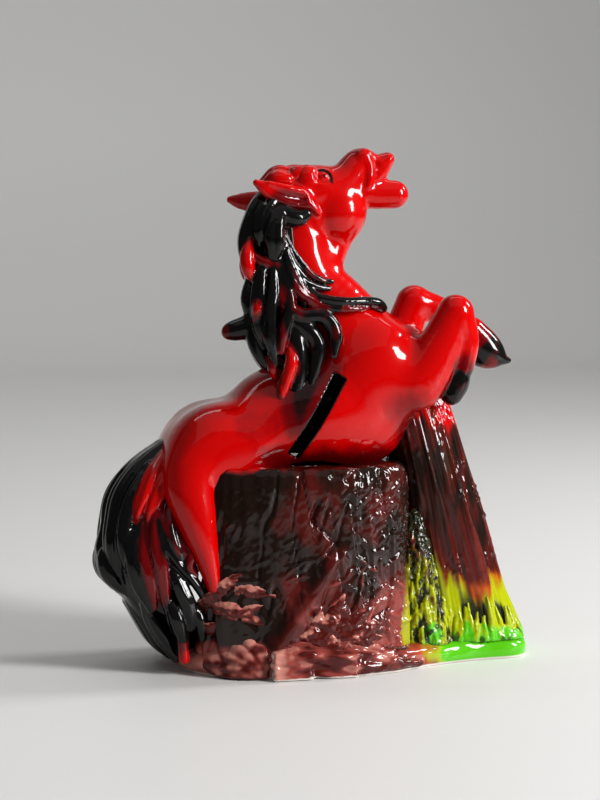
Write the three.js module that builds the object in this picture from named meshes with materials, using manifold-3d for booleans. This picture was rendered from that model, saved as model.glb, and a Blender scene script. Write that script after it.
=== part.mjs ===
// A glazed ceramic coin bank: a rearing horse whose belly lies on a hollow tree stump, with a fluted
// trunk holding its chest up. Coins go in by the slot in the flank and come out by the stopper hole.
// Millimetres, +Z up, the horse faces +X, and -Y is the side with the coin slot.
import * as THREE from "three";
import { mergeVertices } from "three/addons/utils/BufferGeometryUtils.js";
import Module from "manifold-3d";

const wasm = await Module();
wasm.setup();

// ---- Driving dimensions ----
const GAP = 0.3; // clear space kept between neighbouring pieces
const BASE_HEIGHT = 7;
const STUMP_X = -3; // the axis of the stump, its chamber and the stopper
const STUMP_TOP = 66;
const STUMP_RADIUS = 33.5; // at the rim, along X
const STUMP_FLARE = 2; // extra radius at the foot
const STUMP_DEPTH_SHARE = 0.89; // the stump is a little flatter along Y
const STUMP_SQUARENESS = 2.6; // 2 is an ellipse, and a higher number is nearer a rectangle
const CHAMBER_WALL = 5;
const CHAMBER_TOP = 61;
const COIN_DIAMETER = 25; // the largest coin that the slot, the passage and the hole let through
const HOLE_RADIUS = 15; // stopper hole through the base
const RECESS_RADIUS = 18.5; // room for the stopper's flange under the base
const RECESS_DEPTH = 3.2;
const SLOT_LENGTH = COIN_DIAMETER + 4.5;
const SLOT_WIDTH = 3.6;
const SLOT_TILT = THREE.MathUtils.degToRad(59);
const SLOT_CENTRE = new THREE.Vector3(-3.2, -20, 82.3);
const LEG_Y = 13.5; // the forelegs' distance from the middle plane

// ---- Mesh and solid helpers ----

// A closed geometry as a manifold solid.
function solidOf(geometry) {
  const bare = new THREE.BufferGeometry();
  bare.setAttribute("position", geometry.getAttribute("position"));
  if (geometry.index) bare.setIndex(geometry.index);
  const merged = mergeVertices(bare, 1e-4);
  return new wasm.Manifold(
    new wasm.Mesh({
      numProp: 3,
      vertProperties: merged.attributes.position.array,
      triVerts: new Uint32Array(merged.index.array),
    }),
  );
}

// A manifold solid as a flat-shaded three.js geometry.
function geometryOf(solid) {
  const { numProp, numVert, vertProperties, triVerts } = solid.getMesh();
  const positions = new Float32Array(numVert * 3);
  for (let i = 0; i < numVert; i++) {
    positions.set(vertProperties.subarray(i * numProp, i * numProp + 3), i * 3);
  }
  const geometry = new THREE.BufferGeometry();
  geometry.setAttribute("position", new THREE.BufferAttribute(positions, 3));
  geometry.setIndex(new THREE.BufferAttribute(triVerts, 1));
  geometry.computeVertexNormals();
  return geometry;
}

const END_BENDS = [1.15, 0.6]; // where the rings of a domed end stand, in radians from its rim

const unite = (solids) => solids.reduce((sum, solid) => sum.add(solid));

// A round-ended limb through stations [x, y, z, radius, lateral radius]. The section is an ellipse
// whose lateral axis lies along Y, so a limb may be thicker seen from the side than from the front.
function limb(stations, grow = 0, { sides = 10, stepsPerSpan = 2 } = {}) {
  const line = new THREE.CatmullRomCurve3(stations.map(([x, y, z]) => new THREE.Vector3(x, y, z)));
  const radii = new THREE.CatmullRomCurve3(stations.map(([, , , r, w]) => new THREE.Vector3(r, w, 0)));
  const steps = (stations.length - 1) * stepsPerSpan;
  const rings = []; // each ring's middle, tangent and two radii, with the domed ends' rings included
  const addRing = (u, bend) => {
    const tangent = line.getTangent(u);
    const size = radii.getPoint(u).addScalar(grow);
    const middle = line.getPoint(u).addScaledVector(tangent, size.x * Math.sin(bend));
    rings.push({ middle, tangent, r: size.x * Math.cos(bend), w: size.y * Math.cos(bend) });
  };
  for (const bend of END_BENDS) addRing(0, -bend);
  for (let i = 0; i <= steps; i++) addRing(i / steps, 0);
  for (const bend of [...END_BENDS].reverse()) addRing(1, bend);

  const positions = [];
  for (const { middle, tangent, r, w } of rings) {
    const lateral = new THREE.Vector3(0, 1, 0).addScaledVector(tangent, -tangent.y).normalize();
    const normal = new THREE.Vector3().crossVectors(lateral, tangent);
    for (let j = 0; j < sides; j++) {
      const angle = (j / sides) * Math.PI * 2;
      const p = middle.clone().addScaledVector(normal, r * Math.cos(angle));
      p.addScaledVector(lateral, -w * Math.sin(angle));
      positions.push(...p.toArray());
    }
  }
  const ends = [0, 1].map((u) => {
    const reach = (radii.getPoint(u).x + grow) * (u ? 1 : -1);
    return line.getPoint(u).addScaledVector(line.getTangent(u), reach);
  });
  positions.push(...ends[0].toArray(), ...ends[1].toArray());
  const start = rings.length * sides;
  const lastRing = start - sides;
  const index = [];
  for (let j = 0; j < sides; j++) {
    const k = (j + 1) % sides;
    index.push(start, j, k);
    index.push(start + 1, lastRing + k, lastRing + j);
    for (let a = 0; a < lastRing; a += sides) {
      const b = a + sides;
      index.push(a + j, b + j, b + k);
      index.push(a + j, b + k, a + k);
    }
  }
  const geometry = new THREE.BufferGeometry();
  geometry.setAttribute("position", new THREE.Float32BufferAttribute(positions, 3));
  geometry.setIndex(index);
  return solidOf(geometry);
}

// An ellipsoid with half sizes along its own axes, turned about Y by tilt and then about Z by turn.
function ellipsoid([x, y, z], [a, b, c], { tilt = 0, turn = 0, grow = 0, detail = [12, 8] } = {}) {
  const ball = new THREE.SphereGeometry(1, ...detail);
  ball.scale(a + grow, b + grow, c + grow);
  ball.rotateY(tilt);
  ball.rotateZ(turn);
  ball.translate(x, y, z);
  return solidOf(ball);
}

// How far a squared-off circle reaches at an angle, as a multiple of its radius.
function squaredReach(angle) {
  const n = STUMP_SQUARENESS;
  return (Math.abs(Math.cos(angle)) ** n + Math.abs(Math.sin(angle)) ** n) ** (-1 / n);
}

// A solid turned about the stump's axis from [radius, height] corners.
function turned(profile, sides = 32, squared = false) {
  const corners = profile.map(([r, z]) => new THREE.Vector2(r, z));
  const lathe = new THREE.LatheGeometry(corners, sides);
  lathe.rotateX(Math.PI / 2);
  if (squared) {
    const { array } = lathe.attributes.position;
    for (let i = 0; i < array.length; i += 3) {
      const reach = squaredReach(Math.atan2(array[i + 1], array[i]));
      array[i] *= reach;
      array[i + 1] *= reach * STUMP_DEPTH_SHARE;
    }
  }
  lathe.translate(STUMP_X, 0, 0);
  return solidOf(lathe);
}

// A block of the given size, turned about Y by tilt.
function box(centre, size, tilt = 0) {
  const block = new THREE.BoxGeometry(...size);
  block.rotateY(tilt);
  block.translate(...centre);
  return solidOf(block);
}

// Cuts off whatever of a solid is lower than the base's upper face.
const aboveBase = (solid) => solid.subtract(box([0, 0, -50 + BASE_HEIGHT + GAP], [300, 300, 100]));

const mirrored = (stations) => stations.map(([x, y, ...rest]) => [x, -y, ...rest]);

// ---- Placing the pieces ----

const bank = new THREE.Group();
const taken = []; // the outer shapes that later pieces have to stay clear of

// Adds a piece, cut back to stay clear of every piece placed before it. shape(grow) gives its solid.
function place(name, material, shape, finish = (solid) => solid) {
  let solid = shape(0);
  for (const other of taken) solid = solid.subtract(other(GAP));
  solid = finish(solid);
  const largest = solid.decompose().reduce((a, b) => (a.volume() > b.volume() ? a : b));
  const mesh = new THREE.Mesh(geometryOf(largest), material);
  mesh.name = name;
  bank.add(mesh);
  taken.push(shape);
}

const paint = (color, roughness) => new THREE.MeshStandardMaterial({ color, roughness, metalness: 0 });
const RED = paint(0xc40404, 0.12);
const BLACK = paint(0x0d0908, 0.1);
const BARK = paint(0x2a0f0c, 0.2);
const ROSE = paint(0x8a4a40, 0.3);
const GREEN = paint(0x3fb40a, 0.15);
const MOSS = paint(0x7a9a10, 0.2);
const RUBBER = paint(0xd8d4c8, 0.6);

// ---- The hollow: a round chamber in the stump that opens into the horse's barrel ----

const BARREL_HOLLOW = [
  [-19, 0, 77, 7, 12],
  [-7, 0, 81, 10.5, 15],
  [6, 0, 87, 13.5, 15.5],
  [17, 0, 92.5, 12, 13.5],
];
const PASSAGE_RADIUS = COIN_DIAMETER / 2 + 1;
const PASSAGE = [
  [STUMP_X - 1, 0, 56, PASSAGE_RADIUS + 1, PASSAGE_RADIUS],
  [STUMP_X + 1, 0, 80, PASSAGE_RADIUS + 1, PASSAGE_RADIUS],
];
const passage = limb(PASSAGE, 0, { sides: 16, stepsPerSpan: 1 });
const barrelHollow = limb(BARREL_HOLLOW).add(passage);
const CHAMBER_RADIUS = STUMP_RADIUS - CHAMBER_WALL;
const stumpHollow = turned([
  [0, 0],
  [CHAMBER_RADIUS, 0],
  [CHAMBER_RADIUS, CHAMBER_TOP - 4],
  [CHAMBER_RADIUS - 4, CHAMBER_TOP],
  [0, CHAMBER_TOP],
], 20, true);
const SLOT_DEPTH = 24; // from well outside the flank to inside the hollow
const coinSlot = box(SLOT_CENTRE.toArray(), [SLOT_LENGTH, SLOT_DEPTH, SLOT_WIDTH], -SLOT_TILT);

// ---- Ground: base slab, stump, roots, rocks and leaves ----

const BASE_OUTLINE = [
  [-47.5, 0], [-46, -11], [-41, -19.5], [-32, -25.5], [-22.5, -29.5], [-21, -33.5], [-8, -34],
  [6, -33], [20, -29.5], [34, -22], [50, -16.5], [65, -14.5], [70.5, -10], [71.5, 0], [70, 10],
  [64, 14.5], [49, 17.5], [34, 23], [20, 30], [4, 34], [-14, 34], [-30, 28], [-41, 20], [-46, 11],
];

function baseShape(grow) {
  const outline = new THREE.Shape(
    BASE_OUTLINE.map(([x, y]) => {
      const reach = Math.hypot(x, y);
      return new THREE.Vector2(x * (1 + grow / reach), y * (1 + grow / reach));
    }),
  );
  return solidOf(new THREE.ExtrudeGeometry(outline, { depth: BASE_HEIGHT + grow, bevelEnabled: false }));
}

function stopperHole() {
  const hole = turned([[0, -1], [HOLE_RADIUS, -1], [HOLE_RADIUS, BASE_HEIGHT + 1], [0, BASE_HEIGHT + 1]]);
  const recess = turned([[0, -1], [RECESS_RADIUS, -1], [RECESS_RADIUS, RECESS_DEPTH], [0, RECESS_DEPTH]]);
  return hole.add(recess);
}
place("base", ROSE, baseShape, (solid) => solid.subtract(stopperHole()));

const stumpShape = (grow) =>
  turned([
    [0, 0],
    [STUMP_RADIUS + STUMP_FLARE + grow, 0],
    [STUMP_RADIUS + STUMP_FLARE / 2 + grow, 16],
    [STUMP_RADIUS + grow, 34],
    [STUMP_RADIUS - 0.5 + grow, STUMP_TOP - 3],
    [STUMP_RADIUS - 2 + grow, STUMP_TOP + grow],
    [0, STUMP_TOP + grow],
  ], 28, true);
place("stump", BARK, stumpShape, (solid) => aboveBase(solid).subtract(stumpHollow).subtract(passage));

// ---- Horse: barrel, neck, head, legs ----

const TORSO = [
  [-45, 0, 66, 9, 13],
  [-37, 0, 71.5, 12.5, 17.5],
  [-23, 0, 75, 12.5, 18.5],
  [-8, 0, 79.5, 15, 19],
  [6, 0, 86, 18.5, 20],
  [18, 0, 93, 18.5, 18.5],
  [27, 0, 97, 15, 15.5],
];
const torsoShape = (grow) => {
  const belly = ellipsoid([-2, 0, 80.5], [27, 19.5, 17.5], { tilt: -0.2, grow });
  const brisket = ellipsoid([16, 0, 84], [17, 16.5, 19.5], { tilt: -0.3, grow });
  return limb(TORSO, grow, { sides: 14 }).add(belly).add(brisket);
};
place("body", RED, torsoShape, (solid) => solid.subtract(barrelHollow).subtract(coinSlot));

const NECK = [
  [13, 0, 102, 17.6, 15.4],
  [5, 0, 114, 15.2, 12.2],
  [-2.4, 0, 126, 11.4, 10],
  [-6.2, 0, 138, 10.6, 9],
];
place("neck", RED, (grow) => limb(NECK, grow, { sides: 12 }));

// The head is thrown right back, so that its forehead faces the sky.
const SKULL = [
  [-9, 0, 152.6, 9.6, 8.4],
  [-1, 0, 154.2, 9.2, 8.7],
  [7, 0, 156, 7.6, 7.6],
  [15, 0, 162.6, 6.8, 5.9],
  [20, 0, 162.4, 5, 5],
  [24.2, 0, 165, 2.6, 4],
];
const JAW = [
  [8, 0, 151, 6.5, 5.5],
  [18, 0, 153.8, 4.9, 4.6],
  [26.8, 0, 153.9, 4.6, 4.3],
];
const headShape = (grow) =>
  unite([
    limb(SKULL, grow),
    limb(JAW, grow, { sides: 8 }),
    ellipsoid([6.9, 0, 147.6], [10.4, 8.8, 10.3], { grow }),
  ]);
place("head", RED, headShape);

const EAR_RIGHT = [
  [-7.5, -8.2, 152.4, 3.8, 2.6],
  [-14.5, -9.6, 153.8, 3.2, 2.3],
  [-21.4, -10, 156.8, 1.1, 1.1],
];
const EAR_LEFT = [
  [-10, 8, 151.8, 3.8, 2.6],
  [-18, 10, 151.5, 3.3, 2.3],
  [-25.8, 11.5, 152.1, 1.2, 1.2],
];
place("ear_right", RED, (grow) => limb(EAR_RIGHT, grow, { sides: 8 }));
place("ear_left", RED, (grow) => limb(EAR_LEFT, grow, { sides: 8 }));

// Each foreleg is folded at the knee. The right one's shank hangs beside its forearm; the left one's
// shank reaches forward.
const FOREARM_RIGHT = [
  [21, -LEG_Y + 2, 96, 11, 7],
  [31, -LEG_Y, 92.5, 9.5, 7],
  [38.5, -LEG_Y, 104, 7.4, 6.4],
  [43.5, -LEG_Y, 115.5, 5.8, 5.6],
];
const SHANK_RIGHT = [
  [43.8, -LEG_Y, 115.2, 5.7, 5.5],
  [47.6, -LEG_Y, 106, 4.6, 4.8],
  [46.2, -LEG_Y, 97.6, 4.4, 4.4],
];
const FOREARM_LEFT = [
  [21, LEG_Y - 2, 98, 11, 7],
  [30, LEG_Y, 98, 8.5, 6.6],
  [34, LEG_Y, 109, 6.8, 6.2],
  [37, LEG_Y, 118, 5.9, 5.6],
];
const SHANK_LEFT = [
  [37.2, LEG_Y, 118, 5.8, 5.5],
  [47, LEG_Y, 114.8, 4.8, 4.8],
  [57, LEG_Y, 107.6, 4.6, 4.6],
];
const legPair = (upper, lower) => (grow) => limb(upper, grow).add(limb(lower, grow));
place("foreleg_right", RED, legPair(FOREARM_RIGHT, SHANK_RIGHT));
place("foreleg_left", RED, legPair(FOREARM_LEFT, SHANK_LEFT));

const HOOF_RIGHT = [
  [45, -LEG_Y, 93.8, 4.2, 4.4],
  [42.8, -LEG_Y + 0.4, 89.5, 3.6, 4.6],
];
const HOOF_LEFT = [
  [60, LEG_Y, 104.6, 5.6, 4.8],
  [64, LEG_Y, 100.8, 5, 5],
  [70, LEG_Y, 98, 1.8, 3.2],
];
place("hoof_right", BLACK, (grow) => limb(HOOF_RIGHT, grow, { sides: 8 }));
place("hoof_left", BLACK, (grow) => limb(HOOF_LEFT, grow, { sides: 8 }));

const HIND_LEG_RIGHT = [
  [-36, -11, 73.5, 12.5, 9.5],
  [-43, -14.4, 62, 10, 9.3],
  [-42.4, -17.5, 50, 7.4, 7.4],
  [-39.8, -19.5, 38.5, 5, 5.3],
  [-37.2, -21, 28, 2.8, 3.2],
];
place("hind_leg_right", RED, (grow) => limb(HIND_LEG_RIGHT, grow));
place("hind_leg_left", RED, (grow) => limb(mirrored(HIND_LEG_RIGHT), grow));

// ---- Trunk under the chest, and what grows round its foot ----

const TRUNK = [
  [33.5, 0, 84, 13, 12],
  [39, 0, 64, 13, 12],
  [44.5, 0, 40, 16, 13.5],
  [49.5, 0, 18, 19, 15.5],
  [51, 0, -6, 20.5, 17],
];
place("trunk", BARK, (grow) => limb(TRUNK, grow, { sides: 16 }), aboveBase);

const grassShape = (side) => (grow) => ellipsoid([56, side * 12.5, 6], [13.5, 5.5, 7], { tilt: 0.1, grow });
place("grass_right", GREEN, grassShape(-1), aboveBase);
place("grass_left", GREEN, grassShape(1), aboveBase);
const mossShape = (side, height) => (grow) =>
  ellipsoid([33, side * 17.6, height], [6.2, 4.6, height * 1.1], { tilt: -0.1, grow });
place("moss_right", MOSS, mossShape(-1, 17), aboveBase);
place("moss_left", MOSS, mossShape(1, 16), aboveBase);

// A root stub along the front of the stump, cut off square at its left end.
const ROOT_TOP = [
  [-20.6, 0], [-20, 12.8], [-12, 13.6], [-4, 10.6], [6, 9.4], [17, 8.4], [17, 0],
];
function rootShape(grow) {
  const outline = new THREE.Shape(ROOT_TOP.map(([x, z]) => new THREE.Vector2(x, z ? z + grow : z)));
  const raised = new THREE.ExtrudeGeometry(outline, { depth: 11 + grow, bevelEnabled: false });
  raised.rotateX(Math.PI / 2);
  raised.translate(0, -22, 0);
  return solidOf(raised);
}
place("root_stub", ROSE, rootShape, (solid) => {
  const corner = box([26, -40, 10], [40, 12, 60]);
  return aboveBase(solid).subtract(corner);
});

const rockShape = (centre, size) => (grow) => ellipsoid(centre, size, { grow });
place("rock_right", ROSE, rockShape([-34, -16.5, 6], [10.5, 8.5, 8]), aboveBase);
place("rock_left", ROSE, rockShape([-33, 18, 6], [10.5, 8, 8]), aboveBase);

// Curled leaves and bark chips that stand out of the stump: [angle round it, height, half length, tilt].
const LEAVES = [
  [-142, 22, 7, 0.9],
  [-126, 19.5, 6.5, -0.35],
  [-72, 18, 7.5, 0.35],
  [-50, 21, 6, 0.7],
  [112, 24, 7.5, 0.4],
  [68, 20, 7, -0.5],
];
const LEAF_DEPTH = 3.4;
const LEAF_WIDTH = 2.8;
function leafShape(degrees, height, length, tilt) {
  const angle = THREE.MathUtils.degToRad(degrees);
  const reach = squaredReach(angle) * (STUMP_RADIUS + STUMP_FLARE / 2);
  const middle = [STUMP_X + reach * Math.cos(angle), reach * STUMP_DEPTH_SHARE * Math.sin(angle), height];
  const size = [length, LEAF_DEPTH, LEAF_WIDTH];
  return (grow) => ellipsoid(middle, size, { tilt, turn: angle + Math.PI / 2, grow, detail: [10, 7] });
}
LEAVES.forEach((leaf, i) => place(`leaf_${i + 1}`, ROSE, leafShape(...leaf), aboveBase));

// ---- Hair: mane locks, forelock and tail ----

const MANE_CREST = [
  [-12, 0, 153, 6.8, 8.8],
  [-15.4, 0, 143, 9.4, 11.3],
  [-15, 0, 131, 10.4, 12.8],
  [-12.2, 0, 119, 11.8, 14.3],
  [-8, 0, 107, 11, 14],
  [-8, 0, 98, 7, 11],
];
place("mane_crest", BLACK, (grow) => limb(MANE_CREST, grow));

const LOCK_CHEEK_RIGHT = [
  [-9, -9.6, 148.5, 3.6, 2.8],
  [-10.5, -10.6, 140, 3, 2.6],
  [-7, -11, 131.5, 2.6, 2.4],
  [-1, -11.6, 125, 2.6, 2.4],
  [5, -12, 122, 1.8, 2],
];
const LOCK_CHEST_RIGHT = [
  [-8, -12.6, 122, 3, 2.6],
  [-1, -14.6, 119.2, 2.6, 2.4],
  [9, -13.8, 118, 2.4, 2.2],
  [19.5, -8.8, 117, 2.4, 2.2],
];
const LOCK_SHOULDER_RIGHT = [
  [-11, -12.6, 128, 5, 4],
  [-8, -14.4, 118, 5.4, 4.4],
  [-3, -16, 109.6, 5, 4],
  [-0.5, -18, 101, 3, 3],
];
place("mane_cheek_right", BLACK, (grow) => limb(LOCK_CHEEK_RIGHT, grow, { sides: 8 }));
place("mane_cheek_left", BLACK, (grow) => limb(mirrored(LOCK_CHEEK_RIGHT), grow, { sides: 8 }));
place("mane_chest_right", BLACK, (grow) => limb(LOCK_CHEST_RIGHT, grow, { sides: 8 }));
place("mane_shoulder_right", BLACK, (grow) => limb(LOCK_SHOULDER_RIGHT, grow, { sides: 8 }));
place("mane_shoulder_left", BLACK, (grow) => limb(mirrored(LOCK_SHOULDER_RIGHT), grow, { sides: 8 }));

const MANE_CURL = [
  [-16, -4, 114.5, 5, 5],
  [-22, -5.5, 111.6, 4.4, 4.2],
  [-28, -6.4, 109.4, 3.2, 3.2],
];
place("mane_curl", BLACK, (grow) => limb(MANE_CURL, grow, { sides: 8 }));

const FORELOCK = [
  [-14, 0, 158.5, 3.4, 6],
  [-8, 0, 161.6, 2.6, 6],
  [-1.5, 0, 162.6, 1.6, 4],
];
place("forelock", RED, (grow) => limb(FORELOCK, grow, { sides: 8 }));

const TAIL = [
  [-51, 0, 68.5, 6.5, 8],
  [-57, 0, 59.5, 9.5, 14.5],
  [-60.5, 0, 48, 11, 18.5],
  [-59, 0, 34.5, 12.8, 20],
  [-52.6, 0, 21, 12.4, 19],
  [-48, 0, 11, 8.8, 15],
];
const tailShape = (grow) => limb(TAIL, grow, { sides: 12 });
place("tail", BLACK, tailShape, (solid) => solid.subtract(box([0, 0, -50], [300, 300, 102])));

// ---- Stopper: a soft plug with a flange, hollow from below, and a finger bar across it ----

const STOPPER_LOW = 0.9;
const FLANGE_THICKNESS = 2;
const PLUG_RADIUS = HOLE_RADIUS - 0.3;
const PLUG_TOP = BASE_HEIGHT + 4;
const PLUG_WALL = 2.2;
const FLANGE_TOP = STOPPER_LOW + FLANGE_THICKNESS;
const LIP_HEIGHT = 2.4;
const stopper = turned([
  [0, PLUG_TOP - 2],
  [PLUG_RADIUS - PLUG_WALL - 1.2, PLUG_TOP - 2],
  [PLUG_RADIUS - PLUG_WALL, STOPPER_LOW],
  [RECESS_RADIUS - 0.7, STOPPER_LOW],
  [RECESS_RADIUS - 0.7, FLANGE_TOP],
  [PLUG_RADIUS - 0.5, FLANGE_TOP],
  [PLUG_RADIUS - 0.5, PLUG_TOP - LIP_HEIGHT],
  [PLUG_RADIUS, PLUG_TOP - LIP_HEIGHT],
  [PLUG_RADIUS - 1.6, PLUG_TOP],
  [0, PLUG_TOP],
]);
const FINGER_BAR_HEIGHT = PLUG_TOP - 1 - STOPPER_LOW;
const fingerBar = box(
  [STUMP_X, 0, STOPPER_LOW + FINGER_BAR_HEIGHT / 2],
  [2 * PLUG_RADIUS - PLUG_WALL, 3, FINGER_BAR_HEIGHT],
);
const stopperMesh = new THREE.Mesh(geometryOf(stopper.add(fingerBar)), RUBBER);
stopperMesh.name = "stopper";
bank.add(stopperMesh);

// The frame's origin is under the middle of the whole figure.
const middle = new THREE.Box3().setFromObject(bank).getCenter(new THREE.Vector3());
bank.position.set(-middle.x, -middle.y, 0);

export default bank;
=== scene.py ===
"""The looks of the horse coin bank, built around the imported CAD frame.

The horse, its hair, the leaves, the rocks, the root, the moss and the grass are sculpted as distance fields
on a grid and meshed. The stump, the trunk and the base are displaced sweeps, and the stopper is turned. The
paint is a set of masks on the vertices that the materials mix with noise.
Sculpting is in millimetres, in the design's own axes: X = -3 is the stump's axis, the horse faces +X.
"""

import math

import bpy
import numpy as np
from mathutils import Euler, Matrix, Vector

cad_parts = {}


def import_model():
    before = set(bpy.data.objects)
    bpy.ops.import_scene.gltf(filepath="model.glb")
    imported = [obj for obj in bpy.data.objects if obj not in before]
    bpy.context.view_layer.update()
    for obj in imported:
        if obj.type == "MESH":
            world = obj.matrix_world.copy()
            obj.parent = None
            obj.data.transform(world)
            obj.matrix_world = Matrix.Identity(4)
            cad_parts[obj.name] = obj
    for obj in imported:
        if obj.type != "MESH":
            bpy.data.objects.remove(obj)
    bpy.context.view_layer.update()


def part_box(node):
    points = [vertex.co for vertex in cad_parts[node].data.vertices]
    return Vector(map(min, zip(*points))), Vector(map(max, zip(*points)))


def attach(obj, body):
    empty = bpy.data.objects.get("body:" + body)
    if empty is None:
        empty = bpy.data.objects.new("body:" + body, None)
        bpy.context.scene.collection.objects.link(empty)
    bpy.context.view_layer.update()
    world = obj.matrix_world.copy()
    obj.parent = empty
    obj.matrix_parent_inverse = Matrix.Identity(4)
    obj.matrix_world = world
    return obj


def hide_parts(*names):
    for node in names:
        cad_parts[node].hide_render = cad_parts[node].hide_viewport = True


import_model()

MM = 0.001
STUMP_X = -3.0
STOPPER_LOW, STOPPER_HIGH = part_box("stopper")
SHIFT = Vector(((STOPPER_LOW.x + STOPPER_HIGH.x) / 2 - STUMP_X * MM, 0.0, 0.0))
STUMP_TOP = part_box("stump")[1].z / MM
BASE_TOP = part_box("base")[1].z / MM
FAR = 50.0
HORSE_STEP = 0.55
HAIR_STEP = 0.5


# ---- Small numeric helpers ----


def smooth(low, high, value):
    """0 below low, 1 above high, and a smooth step between."""
    t = np.clip((value - low) / (high - low), 0, 1)
    return t * t * (3 - 2 * t)


def lattice(cell, seed):
    """A repeatable number from -1 to 1 for each whole-numbered cell."""
    c = cell.astype(np.uint64)
    h = c[..., 0] * np.uint64(374761393) + c[..., 1] * np.uint64(668265263)
    h += c[..., 2] * np.uint64(2246822519) + np.uint64(seed) * np.uint64(3266489917)
    h &= np.uint64(0xFFFFFFFF)
    h = (h ^ (h >> np.uint64(13))) * np.uint64(1274126177) & np.uint64(0xFFFFFFFF)
    h ^= h >> np.uint64(16)
    return h.astype(np.float64) / 0x7FFFFFFF - 1


# Noise is read along skewed axes, so that its cells don't line up with the part's faces.
ASKEW = np.array(Euler((0.5, 0.7, 0.6)).to_matrix())


def noise(points, size, seed=0, octaves=1):
    """Smooth noise from about -1 to 1 at points in mm, with features of the given size or sizes."""
    total = np.zeros(len(points))
    weight = 1.0
    scaled = (np.asarray(points, float) / np.asarray(size, float)) @ ASKEW + 1000
    for octave in range(octaves):
        cell = np.floor(scaled)
        t = scaled - cell
        t = t * t * t * (t * (t * 6 - 15) + 10)
        for corner in np.ndindex(2, 2, 2):
            share = np.prod(np.where(corner, t, 1 - t), axis=1)
            total += weight * share * lattice(cell + corner, seed + octave)
        scaled = scaled * 2.03
        weight *= 0.5
    return total


def catmull_rom(stations, steps):
    """A smooth line through the stations, with steps points for each span."""
    p = np.asarray(stations, float)
    ends = np.vstack([2 * p[0] - p[1], p, 2 * p[-1] - p[-2]])
    out = []
    for i in range(len(p) - 1):
        a, b, c, d = ends[i : i + 4]
        for t in np.arange(steps) / steps:
            bend = 2 * a - 5 * b + 4 * c - d
            twist = 3 * b - a - 3 * c + d
            out.append(0.5 * (2 * b + (c - a) * t + bend * t**2 + twist * t**3))
    out.append(p[-1])
    return np.array(out)


# ---- Shapes as distance fields. Each is (low corner, high corner, function of x, y, z) ----


def segment(a, b):
    """A round-ended piece of limb from station a to b, each x, y, z, radius, lateral radius."""
    start, end = a[:3], b[:3]
    along = end - start
    length2 = max(along @ along, 1e-9)
    lateral = np.array([0.0, 1.0, 0.0]) - along * along[1] / length2
    size = np.linalg.norm(lateral)
    lateral = lateral / size if size > 0.2 else np.array([0.0, 0.0, 1.0])

    def evaluate(x, y, z):
        dx, dy, dz = x - start[0], y - start[1], z - start[2]
        t = np.clip((dx * along[0] + dy * along[1] + dz * along[2]) / length2, 0, 1)
        r = a[3] + t * (b[3] - a[3])
        w = a[4] + t * (b[4] - a[4])
        dx, dy, dz = dx - t * along[0], dy - t * along[1], dz - t * along[2]
        side = dx * lateral[0] + dy * lateral[1] + dz * lateral[2]
        rest = np.maximum(dx * dx + dy * dy + dz * dz - side * side, 0)
        return (np.sqrt(rest / (r * r) + side * side / (w * w)) - 1) * np.minimum(r, w)

    reach = max(a[3], a[4], b[3], b[4])
    return np.minimum(start, end) - reach, np.maximum(start, end) + reach, evaluate


def limb(stations, steps=5):
    """The segments of a limb through stations x, y, z, radius and, if it isn't round, lateral radius."""
    full = [[*s, s[3]] if len(s) == 4 else s for s in stations]
    line = catmull_rom(full, steps)
    line[:, 3:] = np.maximum(line[:, 3:], 0.15)
    return [segment(line[i], line[i + 1]) for i in range(len(line) - 1)]


def ellipsoid(centre, size, tilt=0.0):
    """An ellipsoid with half sizes along its own axes, turned about Y by tilt degrees."""
    turned = np.array(Euler((0, math.radians(tilt), 0)).to_matrix())
    size = np.asarray(size, float)
    centre = np.asarray(centre, float)

    def evaluate(x, y, z):
        p = [x - centre[0], y - centre[1], z - centre[2]]
        own = [turned[0, i] * p[0] + turned[1, i] * p[1] + turned[2, i] * p[2] for i in range(3)]
        k0 = np.sqrt(sum((own[i] / size[i]) ** 2 for i in range(3)))
        k1 = np.sqrt(sum((own[i] / size[i] ** 2) ** 2 for i in range(3)))
        return k0 * (k0 - 1) / np.maximum(k1, 1e-6)

    return [(centre - size.max(), centre + size.max(), evaluate)]


def block(centre, size, tilt=0.0, turn=0.0, edge=0.3):
    """A box with half sizes and rounded edges, turned about Y by tilt and about Z by turn."""
    turned = np.array(Euler((0, math.radians(tilt), math.radians(turn))).to_matrix())
    centre = np.asarray(centre, float)
    size = np.asarray(size, float)

    def evaluate(x, y, z):
        p = [x - centre[0], y - centre[1], z - centre[2]]
        own = [turned[0, i] * p[0] + turned[1, i] * p[1] + turned[2, i] * p[2] for i in range(3)]
        q = [np.abs(own[i]) - size[i] + edge for i in range(3)]
        outside = np.sqrt(sum(np.maximum(v, 0) ** 2 for v in q))
        return outside + np.minimum(np.maximum(np.maximum(q[0], q[1]), q[2]), 0) - edge

    reach = np.linalg.norm(size)
    return [(centre - reach, centre + reach, evaluate)]


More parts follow.
